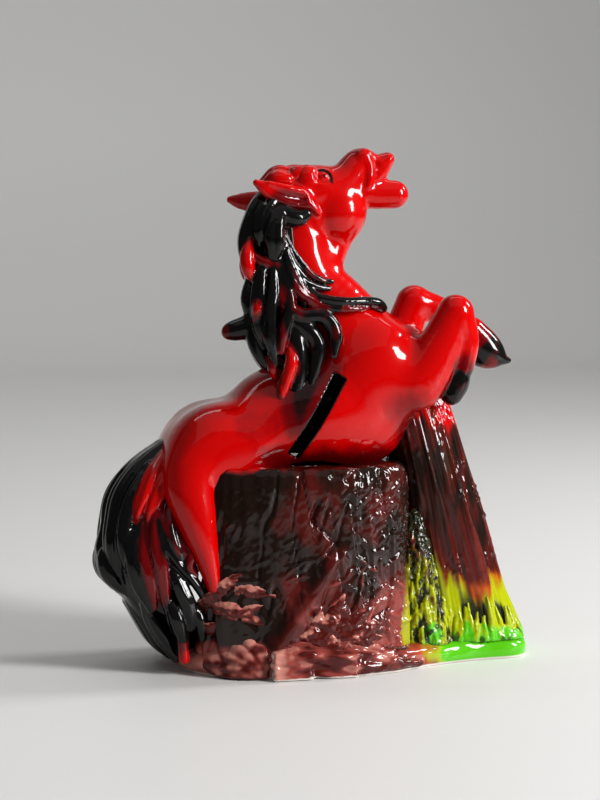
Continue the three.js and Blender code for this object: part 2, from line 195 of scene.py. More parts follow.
class Sculpt:
    """A distance field on a grid, built up by merging and carving shapes."""

    def __init__(self, low, high, step):
        self.low = np.asarray(low, float)
        self.step = step
        count = np.ceil((np.asarray(high, float) - self.low) / step).astype(int) + 1
        self.field = np.full(count, FAR, np.float32)

    def window(self, low, high):
        first = np.floor((low - self.low) / self.step).astype(int)
        last = np.ceil((high - self.low) / self.step).astype(int) + 1
        first = np.clip(first, 0, self.field.shape)
        last = np.clip(last, 0, self.field.shape)
        return tuple(slice(a, b) for a, b in zip(first, last))

    def places(self, window):
        axes = [self.low[i] + self.step * np.arange(window[i].start, window[i].stop) for i in range(3)]
        return axes[0][:, None, None], axes[1][None, :, None], axes[2][None, None, :]

    def distance(self, shape, margin):
        """The window that a shape touches, and its distance there."""
        low = np.min([part[0] for part in shape], axis=0) - margin
        high = np.max([part[1] for part in shape], axis=0) + margin
        window = self.window(low, high)
        first = np.array([w.start for w in window])
        out = np.full([w.stop - w.start for w in window], FAR, np.float32)
        for part_low, part_high, evaluate in shape:
            inner = self.window(part_low - margin, part_high + margin)
            if any(w.stop <= w.start for w in inner):
                continue
            local = tuple(slice(w.start - f, w.stop - f) for w, f in zip(inner, first))
            out[local] = np.minimum(out[local], evaluate(*self.places(inner)))
        return window, out

    def merge(self, shape, blend=1.0):
        window, new = self.distance(shape, blend + 2 * self.step)
        old = self.field[window]
        h = np.clip(0.5 + 0.5 * (old - new) / blend, 0, 1)
        self.field[window] = old + (new - old) * h - blend * h * (1 - h)

    def carve(self, shape, blend=0.6):
        window, new = self.distance(shape, blend + 2 * self.step)
        old = self.field[window]
        h = np.clip(0.5 - 0.5 * (old + new) / blend, 0, 1)
        self.field[window] = old + (-new - old) * h + blend * h * (1 - h)

    def mesh(self):
        """Vertices in mm and triangles of the zero surface, by surface nets."""
        f = np.pad(self.field, 1, constant_values=FAR)
        inside = f < 0
        cells = np.zeros(np.array(f.shape) - 1, np.int8)
        corners = list(np.ndindex(2, 2, 2))
        for i, j, k in corners:
            n = cells.shape
            cells += inside[i : n[0] + i, j : n[1] + j, k : n[2] + k]
        active = np.argwhere((cells > 0) & (cells < 8))
        index = np.full(cells.shape, -1, np.int32)
        index[tuple(active.T)] = np.arange(len(active))
        value = {c: f[tuple((active + c).T)] for c in corners}
        total = np.zeros((len(active), 3))
        count = np.zeros(len(active))
        for c in corners:
            for axis in range(3):
                if c[axis]:
                    continue
                other = tuple(1 if i == axis else c[i] for i in range(3))
                a, b = value[c], value[other]
                crossed = (a < 0) != (b < 0)
                t = np.where(crossed, a / np.where(crossed, a - b, 1), 0)
                place = np.tile(np.array(c, float), (len(active), 1))
                place[:, axis] = t
                total += place * crossed[:, None]
                count += crossed
        verts = (active - 1 + total / count[:, None]) * self.step + self.low

        faces = []
        for axis in range(3):
            u, v = (axis + 1) % 3, (axis + 2) % 3
            step = np.eye(3, dtype=int)
            a = inside
            head = [slice(1, -1)] * 3
            head[axis] = slice(0, -1)
            tail = list(head)
            tail[axis] = slice(1, None)
            here, there = a[tuple(head)], a[tuple(tail)]
            offset = np.array([0 if i == axis else 1 for i in range(3)])
            for flip, mask in ((False, here & ~there), (True, ~here & there)):
                at = np.argwhere(mask) + offset
                quad = [at - step[u] - step[v], at - step[v], at, at - step[u]]
                ids = np.stack([index[tuple(q.T)] for q in quad], axis=1)
                faces.append(ids[:, ::-1] if flip else ids)
        quads = np.vstack(faces)
        return verts, np.vstack([quads[:, [0, 1, 2]], quads[:, [0, 2, 3]]])


# ---- Mesh helpers ----


def vertex_normals(verts, tris):
    a, b, c = (verts[tris[:, i]] for i in range(3))
    face = np.cross(b - a, c - a)
    out = np.zeros_like(verts)
    for i in range(3):
        for axis in range(3):
            out[:, axis] += np.bincount(tris[:, i], face[:, axis], len(verts))
    return out / np.maximum(np.linalg.norm(out, axis=1, keepdims=True), 1e-12)


def relax(verts, tris, rounds=3, forward=0.55, back=-0.57):
    """Smooths away the grid's stair steps without shrinking the shape."""
    edges = np.vstack([tris[:, [0, 1]], tris[:, [1, 2]], tris[:, [2, 0]]])
    degree = np.bincount(edges[:, 0], minlength=len(verts)) + np.bincount(edges[:, 1], minlength=len(verts))
    verts = verts.copy()
    for _ in range(rounds):
        for weight in (forward, back):
            mean = np.zeros_like(verts)
            for axis in range(3):
                mean[:, axis] += np.bincount(edges[:, 0], verts[edges[:, 1], axis], len(verts))
                mean[:, axis] += np.bincount(edges[:, 1], verts[edges[:, 0], axis], len(verts))
            verts += weight * (mean / degree[:, None] - verts)
    return verts


def split(verts, normals, tris, side):
    """Cuts a mesh where side is zero. Returns (verts, normals, tris) for side < 0 and for side >= 0."""
    below = side < 0
    count = below[tris].sum(axis=1)
    cut = tris[(count > 0) & (count < 3)]
    edges = np.sort(np.vstack([cut[:, [0, 1]], cut[:, [1, 2]], cut[:, [2, 0]]]), axis=1)
    edges = edges[below[edges[:, 0]] != below[edges[:, 1]]]
    edges = np.unique(edges, axis=0)
    t = side[edges[:, 0]] / (side[edges[:, 0]] - side[edges[:, 1]])
    t = np.clip(t, 0.02, 0.98)[:, None]
    new_verts = verts[edges[:, 0]] * (1 - t) + verts[edges[:, 1]] * t
    new_normals = normals[edges[:, 0]] * (1 - t) + normals[edges[:, 1]] * t
    new_normals /= np.maximum(np.linalg.norm(new_normals, axis=1, keepdims=True), 1e-12)
    lookup = {(int(a), int(b)): len(verts) + i for i, (a, b) in enumerate(edges)}

    def crossing(a, b):
        return lookup[(a, b) if a < b else (b, a)]

    low, high = [], []
    for tri in cut.tolist():
        alone = [i for i in range(3) if below[tri[i]] != (below[tri].sum() >= 2)][0]
        a, b, c = tri[alone], tri[(alone + 1) % 3], tri[(alone + 2) % 3]
        ab, ac = crossing(a, b), crossing(a, c)
        single, pair = (low, high) if below[a] else (high, low)
        single.append((a, ab, ac))
        pair.append((ab, b, c))
        pair.append((ab, c, ac))
    every = np.vstack([verts, new_verts]), np.vstack([normals, new_normals])
    out = []
    for whole, extra in ((tris[count == 3], low), (tris[count == 0], high)):
        faces = np.vstack([whole, np.array(extra, int).reshape(-1, 3)])
        used = np.unique(faces)
        renumber = np.full(len(every[0]), -1)
        renumber[used] = np.arange(len(used))
        out.append((every[0][used], every[1][used], renumber[faces]))
    return out


def caps(tris, verts):
    """Closes each open loop with a fan to its middle. Returns the middles and the fans' triangles."""
    edges = np.vstack([tris[:, [0, 1]], tris[:, [1, 2]], tris[:, [2, 0]]])
    key = np.sort(edges, axis=1)
    _, first, times = np.unique(key, axis=0, return_index=True, return_counts=True)
    follow = {}
    for a, b in edges[first[times == 1]].tolist():
        follow.setdefault(b, []).append(a)
    middles, fans = [], []
    while follow:
        start = next(iter(follow))
        loop = [start]
        while loop[-1] in follow:
            options = follow[loop[-1]]
            step = options.pop()
            if not options:
                del follow[loop[-1]]
            if step == start:
                break
            loop.append(step)
        middle = len(verts) + len(middles)
        middles.append(verts[loop].mean(axis=0))
        fans += [(loop[i], loop[(i + 1) % len(loop)], middle) for i in range(len(loop))]
    return np.array(middles).reshape(-1, 3), np.array(fans, int).reshape(-1, 3)


def add_object(name, data):
    made = bpy.data.objects.new(name, data)
    bpy.context.scene.collection.objects.link(made)
    return made


def new_material(name):
    """A node material, with its nodes, its links and its shader."""
    made = bpy.data.materials.new(name)
    made.use_nodes = True
    nodes = made.node_tree.nodes
    return made, nodes, made.node_tree.links, nodes["Principled BSDF"]


def add_piece(name, node, verts, tris, material, masks=None, normals=None, body="figure"):
    """Makes one closed piece that stands for a CAD node. masks(points, normals) gives its paint."""
    middles = np.zeros((0, 3))
    fans = np.zeros((0, 3), int)
    if normals is not None:
        middles, fans = caps(tris, verts)
    else:
        normals = vertex_normals(verts, tris)
    points = np.vstack([verts, middles])
    faces = np.vstack([tris, fans])
    mesh = bpy.data.meshes.new(name)
    mesh.vertices.add(len(points))
    mesh.vertices.foreach_set("co", ((points * MM) + np.array(SHIFT)).astype(np.float32).ravel())
    mesh.loops.add(faces.size)
    mesh.loops.foreach_set("vertex_index", faces.astype(np.int32).ravel())
    mesh.polygons.add(len(faces))
    mesh.polygons.foreach_set("loop_start", np.arange(0, faces.size, 3, dtype=np.int32))
    mesh.update(calc_edges=True)
    mesh.shade_smooth()
    if len(fans):
        a, b, c = (points[fans[:, i]] for i in range(3))
        flat = np.cross(b - a, c - a)
        flat /= np.maximum(np.linalg.norm(flat, axis=1, keepdims=True), 1e-12)
        outer = np.vstack([normals, np.zeros_like(middles)])[tris].reshape(-1, 3)
        mesh.normals_split_custom_set(np.vstack([outer, np.repeat(flat, 3, axis=0)]))
    if masks:
        full = np.vstack([normals, np.tile([0.0, 0.0, 1.0], (len(middles), 1))])
        for key, values in masks(points, full).items():
            attribute = mesh.attributes.new(key, "FLOAT", "POINT")
            attribute.data.foreach_set("value", np.clip(values, 0, 1).astype(np.float32))
    mesh.materials.append(material)
    made = add_object(name, mesh)
    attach(made, body)
    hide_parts(node)


# ---- Paint ----


def lacquer(name, paints, bump=0.04, bump_size=7.0, roughness=0.25):
    """A glossy lacquer. paints is [(mask or None, colour)], each laid over the ones before it."""
    made, nodes, links, shader = new_material(name)
    place = nodes.new("ShaderNodeTexCoord").outputs["Object"]

    def noise_node(size, detail):
        node = nodes.new("ShaderNodeTexNoise")
        node.inputs["Scale"].default_value = 1 / (size * MM)
        node.inputs["Detail"].default_value = detail
        links.new(place, node.inputs["Vector"])
        return node.outputs["Fac"]

    mottle = noise_node(2.2, 3)
    colour = None
    for mask, rgb in paints:
        if colour is None:
            start = nodes.new("ShaderNodeRGB")
            start.outputs[0].default_value = (*rgb, 1)
            colour = start.outputs[0]
            continue
        amount = nodes.new("ShaderNodeAttribute")
        amount.attribute_name = mask
        offset = nodes.new("ShaderNodeMath")
        offset.operation = "MULTIPLY_ADD"
        offset.inputs[1].default_value = 0.30
        links.new(mottle, offset.inputs[0])
        links.new(amount.outputs["Fac"], offset.inputs[2])
        edge = nodes.new("ShaderNodeMapRange")
        edge.interpolation_type = "SMOOTHSTEP"
        edge.inputs["From Min"].default_value = 0.25
        edge.inputs["From Max"].default_value = 1.0
        links.new(offset.outputs[0], edge.inputs["Value"])
        mix = nodes.new("ShaderNodeMix")
        mix.data_type = "RGBA"
        mix.inputs["B"].default_value = (*rgb, 1)
        links.new(edge.outputs["Result"], mix.inputs["Factor"])
        links.new(colour, mix.inputs["A"])
        colour = mix.outputs["Result"]
    links.new(colour, shader.inputs["Base Color"])
    shader.inputs["Roughness"].default_value = roughness
    shader.inputs["Specular IOR Level"].default_value = 0.03
    shader.inputs["Coat Weight"].default_value = 1.0
    shader.inputs["Coat Roughness"].default_value = 0.05
    shader.inputs["Coat IOR"].default_value = 1.36
    waves = nodes.new("ShaderNodeBump")
    waves.inputs["Strength"].default_value = 1.0
    waves.inputs["Distance"].default_value = bump * MM
    links.new(noise_node(bump_size, 2), waves.inputs["Height"])
    links.new(waves.outputs["Normal"], shader.inputs["Normal"])
    links.new(waves.outputs["Normal"], shader.inputs["Coat Normal"])
    return made


RED = (0.54, 0.0, 0.0)
DEEP_RED = (0.12, 0.0, 0.001)
BLACK = (0.003, 0.0025, 0.0025)
COAT = lacquer("red_coat", [(None, RED), ("deep", DEEP_RED), ("black", BLACK)])
HAIR = lacquer("black_hair", [(None, RED), ("deep", DEEP_RED), ("black", BLACK)])


# ---- The horse's body ----

TORSO = [
    [-45, 0, 66, 9, 13],
    [-37, 0, 71.5, 12.5, 17.5],
    [-23, 0, 75, 12.5, 18.5],
    [-8, 0, 79.5, 15, 19],
    [6, 0, 86, 18.5, 20],
    [18, 0, 93, 18.5, 18.5],
    [27, 0, 97, 15, 15.5],
]
NECK = [
    [13, 0, 102, 17.2, 15.2],
    [4.6, 0, 114, 14.6, 12.2],
    [-2.8, 0, 126, 10.8, 10.0],
    [-5.8, 0, 137, 10.4, 9.0],
    [-4, 0, 146, 9.6, 8.4],
]
THROAT = [[8.4, 0, 145.4, 7.0, 5.0], [5.2, 0, 138.2, 6.6, 4.8], [1.6, 0, 131.5, 7.4, 6.4]]
SKULL = [
    [-9, 0, 152.8, 9.6, 8.2],
    [-1, 0, 154.4, 9.0, 8.6],
    [6, 0, 155.8, 7.4, 7.6],
    [10.6, 0, 158.6, 6.2, 6.6],
    [15.2, 0, 163.6, 5.5, 5.4],
    [19.4, 0, 162.8, 4.2, 4.8],
    [23.8, 0, 165.2, 2.5, 3.9],
]
UPPER_LIP = [[17, 0, 158.5, 4.5, 4.8], [21.5, 0, 160.5, 2.7, 4.3], [24.6, 0, 165.6, 2.0, 3.6]]
JAW = [[7, 0, 151, 7.5, 6.6], [15, 0, 154, 5.4, 5.3], [21, 0, 154.0, 5.0, 4.7], [26.8, 0, 153.9, 4.7, 4.4]]
FORELEG_RIGHT = [
    [19, -10.5, 94, 11, 7],
    [31, -13.5, 92.5, 9.3, 7],
    [39.0, -13.5, 104, 7.6, 6.4],
    [43.9, -13.5, 115.2, 5.8, 5.6],
]
SHANK_RIGHT = [[44.6, -13.5, 114.6, 5.4, 5.2], [47.3, -13.5, 106, 4.7, 4.6], [46.0, -13.5, 97.6, 4.5, 4.3]]
HOOF_RIGHT = [[45.6, -13.5, 95.6, 3.7, 4.1], [44.6, -13.4, 91.8, 4.2, 4.6], [43.0, -13.2, 88.4, 3.8, 4.5]]
FORELEG_LEFT = [
    [20, 10.5, 97, 11, 7],
    [30, 13.5, 98, 8.4, 6.6],
    [34, 13.5, 109, 6.7, 6.2],
    [37, 13.5, 118, 5.7, 5.5],
]
SHANK_LEFT = [[38, 13.5, 117.8, 5.4, 5.2], [47, 13.5, 114.8, 4.7, 4.7], [56, 13.5, 108.4, 4.4, 4.4]]
HOOF_LEFT = [[57.8, 13.5, 107.6, 5.4, 4.8], [62.6, 13.5, 101.6, 6.4, 5.3], [68.4, 13.5, 98.4, 2.4, 3.8],
    [70.8, 13.5, 97.8, 1.3, 2.6]]
HIND_LEG_RIGHT = [
    [-35, -10.5, 72, 11.5, 9.5],
    [-43.5, -14, 62, 9.4, 9.2],
    [-42.4, -17.5, 50, 6.8, 7.2],
    [-39.6, -19.5, 38.5, 4.2, 5.2],
    [-37.4, -21, 28, 2.2, 3.0],
]
EAR_RIGHT = [
    [-6.5, -8.2, 151.8, 3.8, 2.6],
    [-12, -9.4, 152.8, 3.7, 2.3],
    [-17.4, -9.9, 154.7, 2.7, 1.8],
    [-21.7, -10, 157.0, 1.1, 1.1],
]
EAR_LEFT = [
    [-10, 8, 151.5, 3.8, 2.6],
    [-17, 9.8, 151.4, 3.6, 2.2],
    [-22.4, 11, 151.6, 2.7, 1.7],
    [-26.2, 11.5, 152.2, 1.3, 1.2],
]
BARREL_HOLLOW = [[-19, 0, 77, 7, 12], [-7, 0, 81, 10.5, 15], [6, 0, 87, 13.5, 15.5], [17, 0, 92.5, 12, 13.5]]
PASSAGE = [[-4, 0, 56, 14.5, 13.5], [-2, 0, 80, 14.5, 13.5]]
SLOT_MIDDLE = (-3.2, -20, 82.3)
SLOT_SIZE = (14.75, 9, 1.8)
SLOT_TILT = -59


def mirrored(stations):
    return [[s[0], -s[1], *s[2:]] for s in stations]


CHEEK = (6.9, 0, 147.8)
CHEEK_SIZE = (10.2, 9.0, 10.0)
HORSE_PARTS = {
    "hoof_right": limb(HOOF_RIGHT),
    "hoof_left": limb(HOOF_LEFT),
    "foreleg_right": limb(FORELEG_RIGHT) + limb(SHANK_RIGHT),
    "foreleg_left": limb(FORELEG_LEFT) + limb(SHANK_LEFT),
    "hind_leg_right": limb(HIND_LEG_RIGHT),
    "hind_leg_left": limb(mirrored(HIND_LEG_RIGHT)),
    "ear_right": limb(EAR_RIGHT),
    "ear_left": limb(EAR_LEFT),
    "head": limb(SKULL) + limb(JAW) + ellipsoid(CHEEK, CHEEK_SIZE),
    "neck": limb(NECK) + limb(THROAT),
    "body": limb(TORSO),
}
EYE = (0.9, -7.0, 158.9)


def sculpt_horse():
    s = Sculpt((-58, -27, 20), (75, 27, 174), HORSE_STEP)
    s.merge(limb(TORSO), 1)
    s.merge(ellipsoid((-2, 0, 80.5), (27, 19.5, 17.5), 11), 6)
    s.merge(ellipsoid((16, 0, 84), (17, 16.5, 19.5), 17), 6)
    s.merge(limb(NECK), 5)
    for side in (-1, 1):
        s.merge(ellipsoid((17, side * 9.5, 97), (11, 9.5, 15), 25), 5)
        s.merge(ellipsoid((-32, side * 9.5, 69.5), (13.5, 9.8, 13.0)), 11)
    s.merge(limb(HIND_LEG_RIGHT, 16), 5)
    s.merge(limb(mirrored(HIND_LEG_RIGHT), 16), 5)
    s.merge(limb(FORELEG_RIGHT), 3.5)
    s.merge(limb(FORELEG_LEFT), 3.5)
    s.merge(limb(SHANK_RIGHT), 1.6)
    s.merge(limb(SHANK_LEFT), 1.8)
    s.merge(limb(HOOF_RIGHT), 0.9)
    s.merge(limb(HOOF_LEFT), 0.9)

    s.merge(limb(SKULL), 2)
    s.merge(limb(THROAT), 2)
    s.merge(limb(JAW), 2.2)
    s.merge(limb(UPPER_LIP), 0.9)
    s.merge(ellipsoid(CHEEK, CHEEK_SIZE), 1.6)
    for side in (-1, 1):
        carve_face(s, side)
    for ear in (EAR_RIGHT, EAR_LEFT):
        s.merge(limb(ear), 1.6)
        rim = [[x, y * 1.1, z + 0.72 * r, 0.7] for x, y, z, r, _ in ear[:3]]
        s.merge(limb(rim), 1.2)
        hollow = [[x, y * 1.26, z + 0.05 * r, 0.34 * r] for x, y, z, r, _ in ear]
        s.carve(limb(hollow[:3]), 1.6)

    s.carve(limb(BARREL_HOLLOW), 0.6)
    s.carve(limb(PASSAGE), 0.6)
    s.carve(block(SLOT_MIDDLE, SLOT_SIZE, SLOT_TILT), 0.5)
    verts, tris = s.mesh()
    return relax(verts, tris), tris


def carve_face(s, side):
    """The brow, the eye with its lids, the nostril, the mouth's folds and the edge of the cheek."""
    x, y, z = EYE[0], -side * EYE[1], EYE[2]
    s.merge(ellipsoid((-4.0, side * 5.4, 158.4), (4.2, 3.8, 4.8)), 1.0)
    s.carve(ellipsoid((x + 0.4, y + side * 0.9, z + 0.4), (3.0, 1.7, 2.2)), 1.4)
    lower = [[x - 2.6, y * 0.98, z - 1.0, 0.6], [x - 1.0, y * 1.05, z - 2.3, 0.8], [x + 1.6, y, z - 2.4, 0.7]]
    s.merge(limb([*lower, [x + 3.0, y * 0.9, z - 0.8, 0.5]]), 1.1)
    upper = [[x - 2.6, y * 0.93, z + 0.6, 0.5], [x - 0.8, y * 0.84, z + 2.2, 0.7],
        [x + 1.8, y * 0.80, z + 2.2, 0.7]]
    s.merge(limb([*upper, [x + 3.4, y * 0.84, z + 0.4, 0.5]]), 1.0)
    s.merge(ellipsoid((x + 0.3, y * 0.92, z + 0.2), (1.9, 1.3, 1.6)), 0.3)
    s.merge(ellipsoid((15.5, side * 3.4, 166.2), (2.6, 2.2, 2.6), -40), 1.6)
    s.carve(ellipsoid((19.4, side * 4.9, 163.6), (1.5, 1.1, 0.9), 50), 1.2)
    s.carve(limb([[18.6, side * 6.0, 162.4, 0.5], [19.0, side * 6.0, 159.6, 0.8],
        [18.4, side * 6.2, 156.2, 0.5]]), 1.5)
    s.merge(limb([[17.2, side * 4.6, 163.4, 0.9], [17.4, side * 5.0, 159.6, 0.9],
        [16.8, side * 5.2, 156.4, 0.6]]), 1.6)
    s.carve(limb([[20.6, side * 5.0, 158.4, 0.3], [23, side * 4.4, 159.2, 0.5], [25.6, side * 4.0, 159.9,
        0.8]]), 0.8)
    s.merge(limb([[-6.5, side * 8.2, 150.6, 1.2], [-3.0, side * 8.9, 149.4, 1.2],
        [-0.9, side * 8.7, 147.4, 0.8]]), 1.4)
    s.carve(limb([[-4.6, side * 9.8, 147, 0.8], [-1.8, side * 10, 143, 1.3],
        [2.0, side * 9.6, 139.2, 1.0]]), 2.6)


def signed_split(parts, verts, keep):
    """For each named shape, its distance less the nearest other shape's, at the vertices."""
    distance = {}
    for name, shape in parts.items():
        d = np.full(len(verts), FAR)
        for _, _, evaluate in shape:
            d = np.minimum(d, evaluate(verts[:, 0], verts[:, 1], verts[:, 2]))
        distance[name] = d
    out = {}
    for name in parts:
        others = np.min([d for other, d in distance.items() if other != name], axis=0)
        out[name] = distance[name] - others + keep
    return out


def add_split(parts, rest, verts, tris, material, masks, keep=None):
    """Cuts one mesh into a piece for each named shape. What is left stands for the node named rest."""
    normals = vertex_normals(verts, tris)
    left = (verts, normals, tris)
    for name in parts:
        if name == rest:
            continue
        keep_at = keep(left[0]) if keep else 0
        side = signed_split(parts, left[0], keep_at)[name]
        part, left = split(*left, side)
        add_piece(name + "_look", name, part[0], part[2], material, masks, part[1])
    add_piece(rest + "_look", rest, left[0], left[2], material, masks, left[1])


def near(points, shape):
    """How far each point is from a shape, in mm."""
    d = np.full(len(points), FAR)
    for _, _, evaluate in shape:
        d = np.minimum(d, evaluate(points[:, 0], points[:, 1], points[:, 2]))
    return d


# The coat is dark under the mane and behind the ears.
MANE_SHADE = [
    [-10, -16, 113, 6, 6],
    [-4, -18, 104, 6.4, 6],
    [-5.6, -19, 95, 5.4, 6],
    [-8.6, -19, 87, 3.8, 6],
    [-9.4, -19, 80, 1.6, 5],
]
EAR_SHADE = ellipsoid((-10.5, -10, 149), (5.5, 5, 3.2), 20)


def near_hollow(p):
    """How far each point is from the coins' space in the barrel, in mm."""
    return np.minimum(near(p, limb(BARREL_HOLLOW)), near(p, limb(PASSAGE)))


def coat_masks(p, n):
    x, y, z = p.T
    # cavity is the distance to the slot and the coins' hollow; the black laid there is painted shade inside
    # them.
    cavity = np.minimum(near_hollow(p), near(p, block(SLOT_MIDDLE, SLOT_SIZE, SLOT_TILT)))
    wash = noise(p, (8, 8, 10), 11, 2)
    mane = near(p * [1, -1, 1], limb(MANE_SHADE))
    mane = np.minimum(mane, near(p, limb(MANE_SHADE))) + 1.2 * wash
    # back darkens the upward-facing back and haunch towards the tail: painted shade.
    back = smooth(-14, -30, x + 4 * wash) * smooth(0.45, 0.9, n[:, 2])
    # Painted shade on the lower belly where it lies over the stump.
    belly_shade = smooth(76, 67, z + 2 * wash) * smooth(-30, -18, x) * smooth(32, 20, x)
    nape = smooth(4.5, 0.5, near(p * [1, -1, 1], EAR_SHADE)) + smooth(4.5, 0.5, near(p, EAR_SHADE))
    # Painted shade on the chest round the top of the trunk.
    trunk_top_shade = smooth(12, 2, np.hypot(x - 31, z - 76) + 2 * wash)
    hoof = np.minimum(near(p, limb(HOOF_RIGHT)), near(p, limb(HOOF_LEFT[1:])))
    cuff = smooth(0.9, -0.2, hoof + 0.5 * noise(p, 2.5, 5))
    singed = smooth(5.5, 0.5, hoof + 1.5 * wash)
    # Painted shade below the forelegs beside the trunk (flank) and in the dip between the haunch and the
    # barrel (loin).
    flank_shade = 0.55 * smooth(12, 2, np.hypot((x - 27) / 1.3, z - 84))
    flank_shade = flank_shade * smooth(14, 17, np.abs(y) + 0.4 * (x - 20))
    loin_shade = 0.45 * smooth(9, 1, np.hypot((x + 22) / 1.6, z - 80) + 2 * wash) * smooth(6, 13, np.abs(y))
    eye = np.hypot(x - EYE[0] - 0.6, z - EYE[2] - 0.6)
    iris = 0.8 * smooth(0.9, 0.5, eye)
    ring = np.abs(np.hypot(x - EYE[0], z - EYE[2] + 0.6) - 3.0)
    lash = smooth(0.7, 0.3, ring) * smooth(0.4, 1.2, z - EYE[2] + 0.9 * (x - EYE[0]))
    iris = np.maximum(iris, lash) * smooth(4.0, 4.6, np.abs(y))
    black = np.max([cuff, iris, smooth(0.9, 0.3, cavity), 0.7 * smooth(0.8, -2.6, mane)], axis=0)
    # deep mixes the dark red by the mane, behind the ears and round the hooves with the painted shade of the
    # back, the belly, the trunk top, the flank and the loin.
    deep = np.max([0.9 * smooth(7, -1, mane), 0.4 * back, 0.8 * belly_shade, 0.8 * trunk_top_shade,
        0.8 * singed, 0.8 * nape, flank_shade, loin_shade], axis=0)
    return {"black": black, "deep": deep}


def inside_horse(p):
    """Positive by the walls of the hollow, so that no cut crosses them."""
    return 40 * (near_hollow(p) < 1.5)


def build_horse():
    verts, tris = sculpt_horse()
    add_split(HORSE_PARTS, "body", verts, tris, COAT, coat_masks, inside_horse)


# ---- The mane and the tail ----

# Each lock is (how red it is, stations). 0 or less is black, 0.5 dark red and 1 red.
CREST_LOCKS = [
    (0.0, [[-13, -4, 156.5, 2.0], [-19.0, -5.5, 152, 2.8], [-22.6, -7, 145, 3.0], [-24.4, -7.5, 138, 3.0],
        [-23.8, -8, 131, 2.4], [-22, -8, 125, 1.0]]),
    (0.0, [[-13, -8, 153.5, 2.2], [-17.2, -9.6, 149, 2.6], [-20.0, -10.8, 142.5, 2.6],
        [-20.8, -11, 137, 1.0]]),
    (0.0, [[-12.5, -8.5, 150.4, 1.8], [-14.8, -11.4, 147.2, 2.8], [-16.2, -12.8, 141, 3.5],
        [-16, -12.8, 136, 3.2], [-17, -12, 131, 1.2]]),
    (-0.3, [[-5.6, -9.6, 146.6, 2.2], [-8.6, -10.4, 145.6, 3.0], [-13, -10.6, 147.2, 3.0]]),
    (1.0, [[-23.6, -9.6, 138.5, 1.2], [-24.8, -11.0, 133.5, 2.3], [-24.4, -11.4, 129, 2.1],
        [-23.2, -11, 125.8, 0.8]]),
    (0.6, [[-23, -11, 134, 1.2], [-19.5, -12.2, 131.5, 1.7], [-15.4, -12.8, 130.6, 1.4]]),
    (0.0, [[-19, -11, 133, 1.6], [-20.6, -12.2, 126, 2.4], [-21.2, -12.6, 119, 2.7],
        [-20.8, -13, 111, 2.4], [-18.6, -13.6, 104, 1.2]]),
    (0.0, [[-16.6, -12.8, 130, 1.8], [-17.2, -14.2, 122, 2.5], [-18.2, -14.8, 114, 2.7],
        [-17.8, -15, 106, 2.4], [-16, -15.2, 99, 1.0]]),
    (1.0, [[-21.6, -13.4, 121, 0.8], [-22, -14.4, 117, 1.7], [-22.4, -14.2, 113.5, 0.8]]),
    (0.5, [[-19.5, -14.4, 113, 0.9], [-19.2, -15.4, 108, 1.6], [-17.8, -15.8, 103.5, 0.8]]),
    (0.0, [[-20, -8, 122, 3.0], [-21, -9, 113, 3.6], [-21.6, -9.5, 106, 3.0], [-19.6, -10.5, 100, 2.2],
        [-16.6, -11.5, 95.5, 1.0]]),
    (0.7, [[-18, -13.4, 101, 0.9], [-17, -13.8, 97.6, 1.8], [-16.4, -13.2, 94.6, 0.8]]),
    (0.3, [[-12.8, -12.4, 131, 1.6], [-12.4, -14, 124, 2.2], [-11.4, -15.2, 117.6, 2.0],
        [-13.4, -15.6, 110, 2.2], [-14.6, -15.6, 103, 1.6]]),
]
CHEEK_LOCKS = [
    (0.25, [[-12.8, -10.2, 141.6, 0.9], [-11, -10.8, 137, 1.2], [-8, -11.4, 132.3, 1.2],
        [-4, -11.7, 127.8, 1.2], [-0.5, -11.4, 125.7, 1.2], [3.4, -10.2, 125.2, 0.8]]),
    (0.05, [[-12.8, -11.4, 137, 1.4], [-10.8, -12.4, 131.2, 1.9], [-7.0, -13.0, 126.2, 1.8],
        [-2.4, -12.8, 123.6, 1.5], [2, -11.8, 123.0, 1.2]]),
    (0.35, [[-12.4, -12.2, 135, 1.8], [-10.4, -13.6, 127, 2.4], [-7.6, -14.6, 121.6, 2.4],
        [-3, -15.0, 118.6, 1.8]]),
]
CHEST_LOCKS = [
    (0.05, [[-6, -13.2, 123.6, 1.4], [-2, -14.4, 120.2, 1.9], [4, -14.8, 119.0, 2.0],
        [9, -14.0, 118.8, 1.8], [14, -12.2, 118.8, 2.0], [18.6, -9.6, 118.0, 2.4], [20.8, -8.2, 116.6, 2.1]]),
    (0.4, [[-5, -15.0, 118.4, 1.2], [2, -15.4, 116.8, 1.4], [9, -14.6, 116.4, 1.2], [15, -12.6, 116.8, 0.7]]),
]
SHOULDER_LOCKS = [
    (0.3, [[-14.4, -12.2, 132, 1.4], [-14.6, -13.4, 124, 2.0], [-12.8, -14.5, 118, 2.3],
        [-7.6, -15.2, 114.4, 2.5], [-2, -15.2, 114.4, 2.6], [1.6, -15.2, 112.2, 2.6],
        [3.4, -15.6, 107.6, 2.4], [2.6, -16.2, 101.6, 1.4]]),
    (0.1, [[-11, -13.8, 113, 2.4], [-6.0, -14.4, 110, 3.0], [-2.6, -14.8, 105, 3.0],
        [-3.4, -15.6, 98, 2.2], [-5.0, -16.4, 92, 1.0]]),
    (1.0, [[-11.6, -15, 105, 1.0], [-11.4, -16.6, 100, 2.0], [-12.8, -16.6, 94, 1.7],
        [-14.4, -16.2, 88, 0.8]]),
    (0.5, [[-13.6, -15.6, 95, 1.1], [-15, -16, 90.5, 1.3], [-14.2, -16.6, 85.5, 0.6]]),
    (0.1, [[-10.4, -13.2, 113, 2.4], [-9.0, -13.8, 105, 3.4], [-8.8, -14.2, 97, 3.4],
        [-9.6, -14.8, 90, 2.6], [-10.4, -15.6, 83, 1.0]]),
]
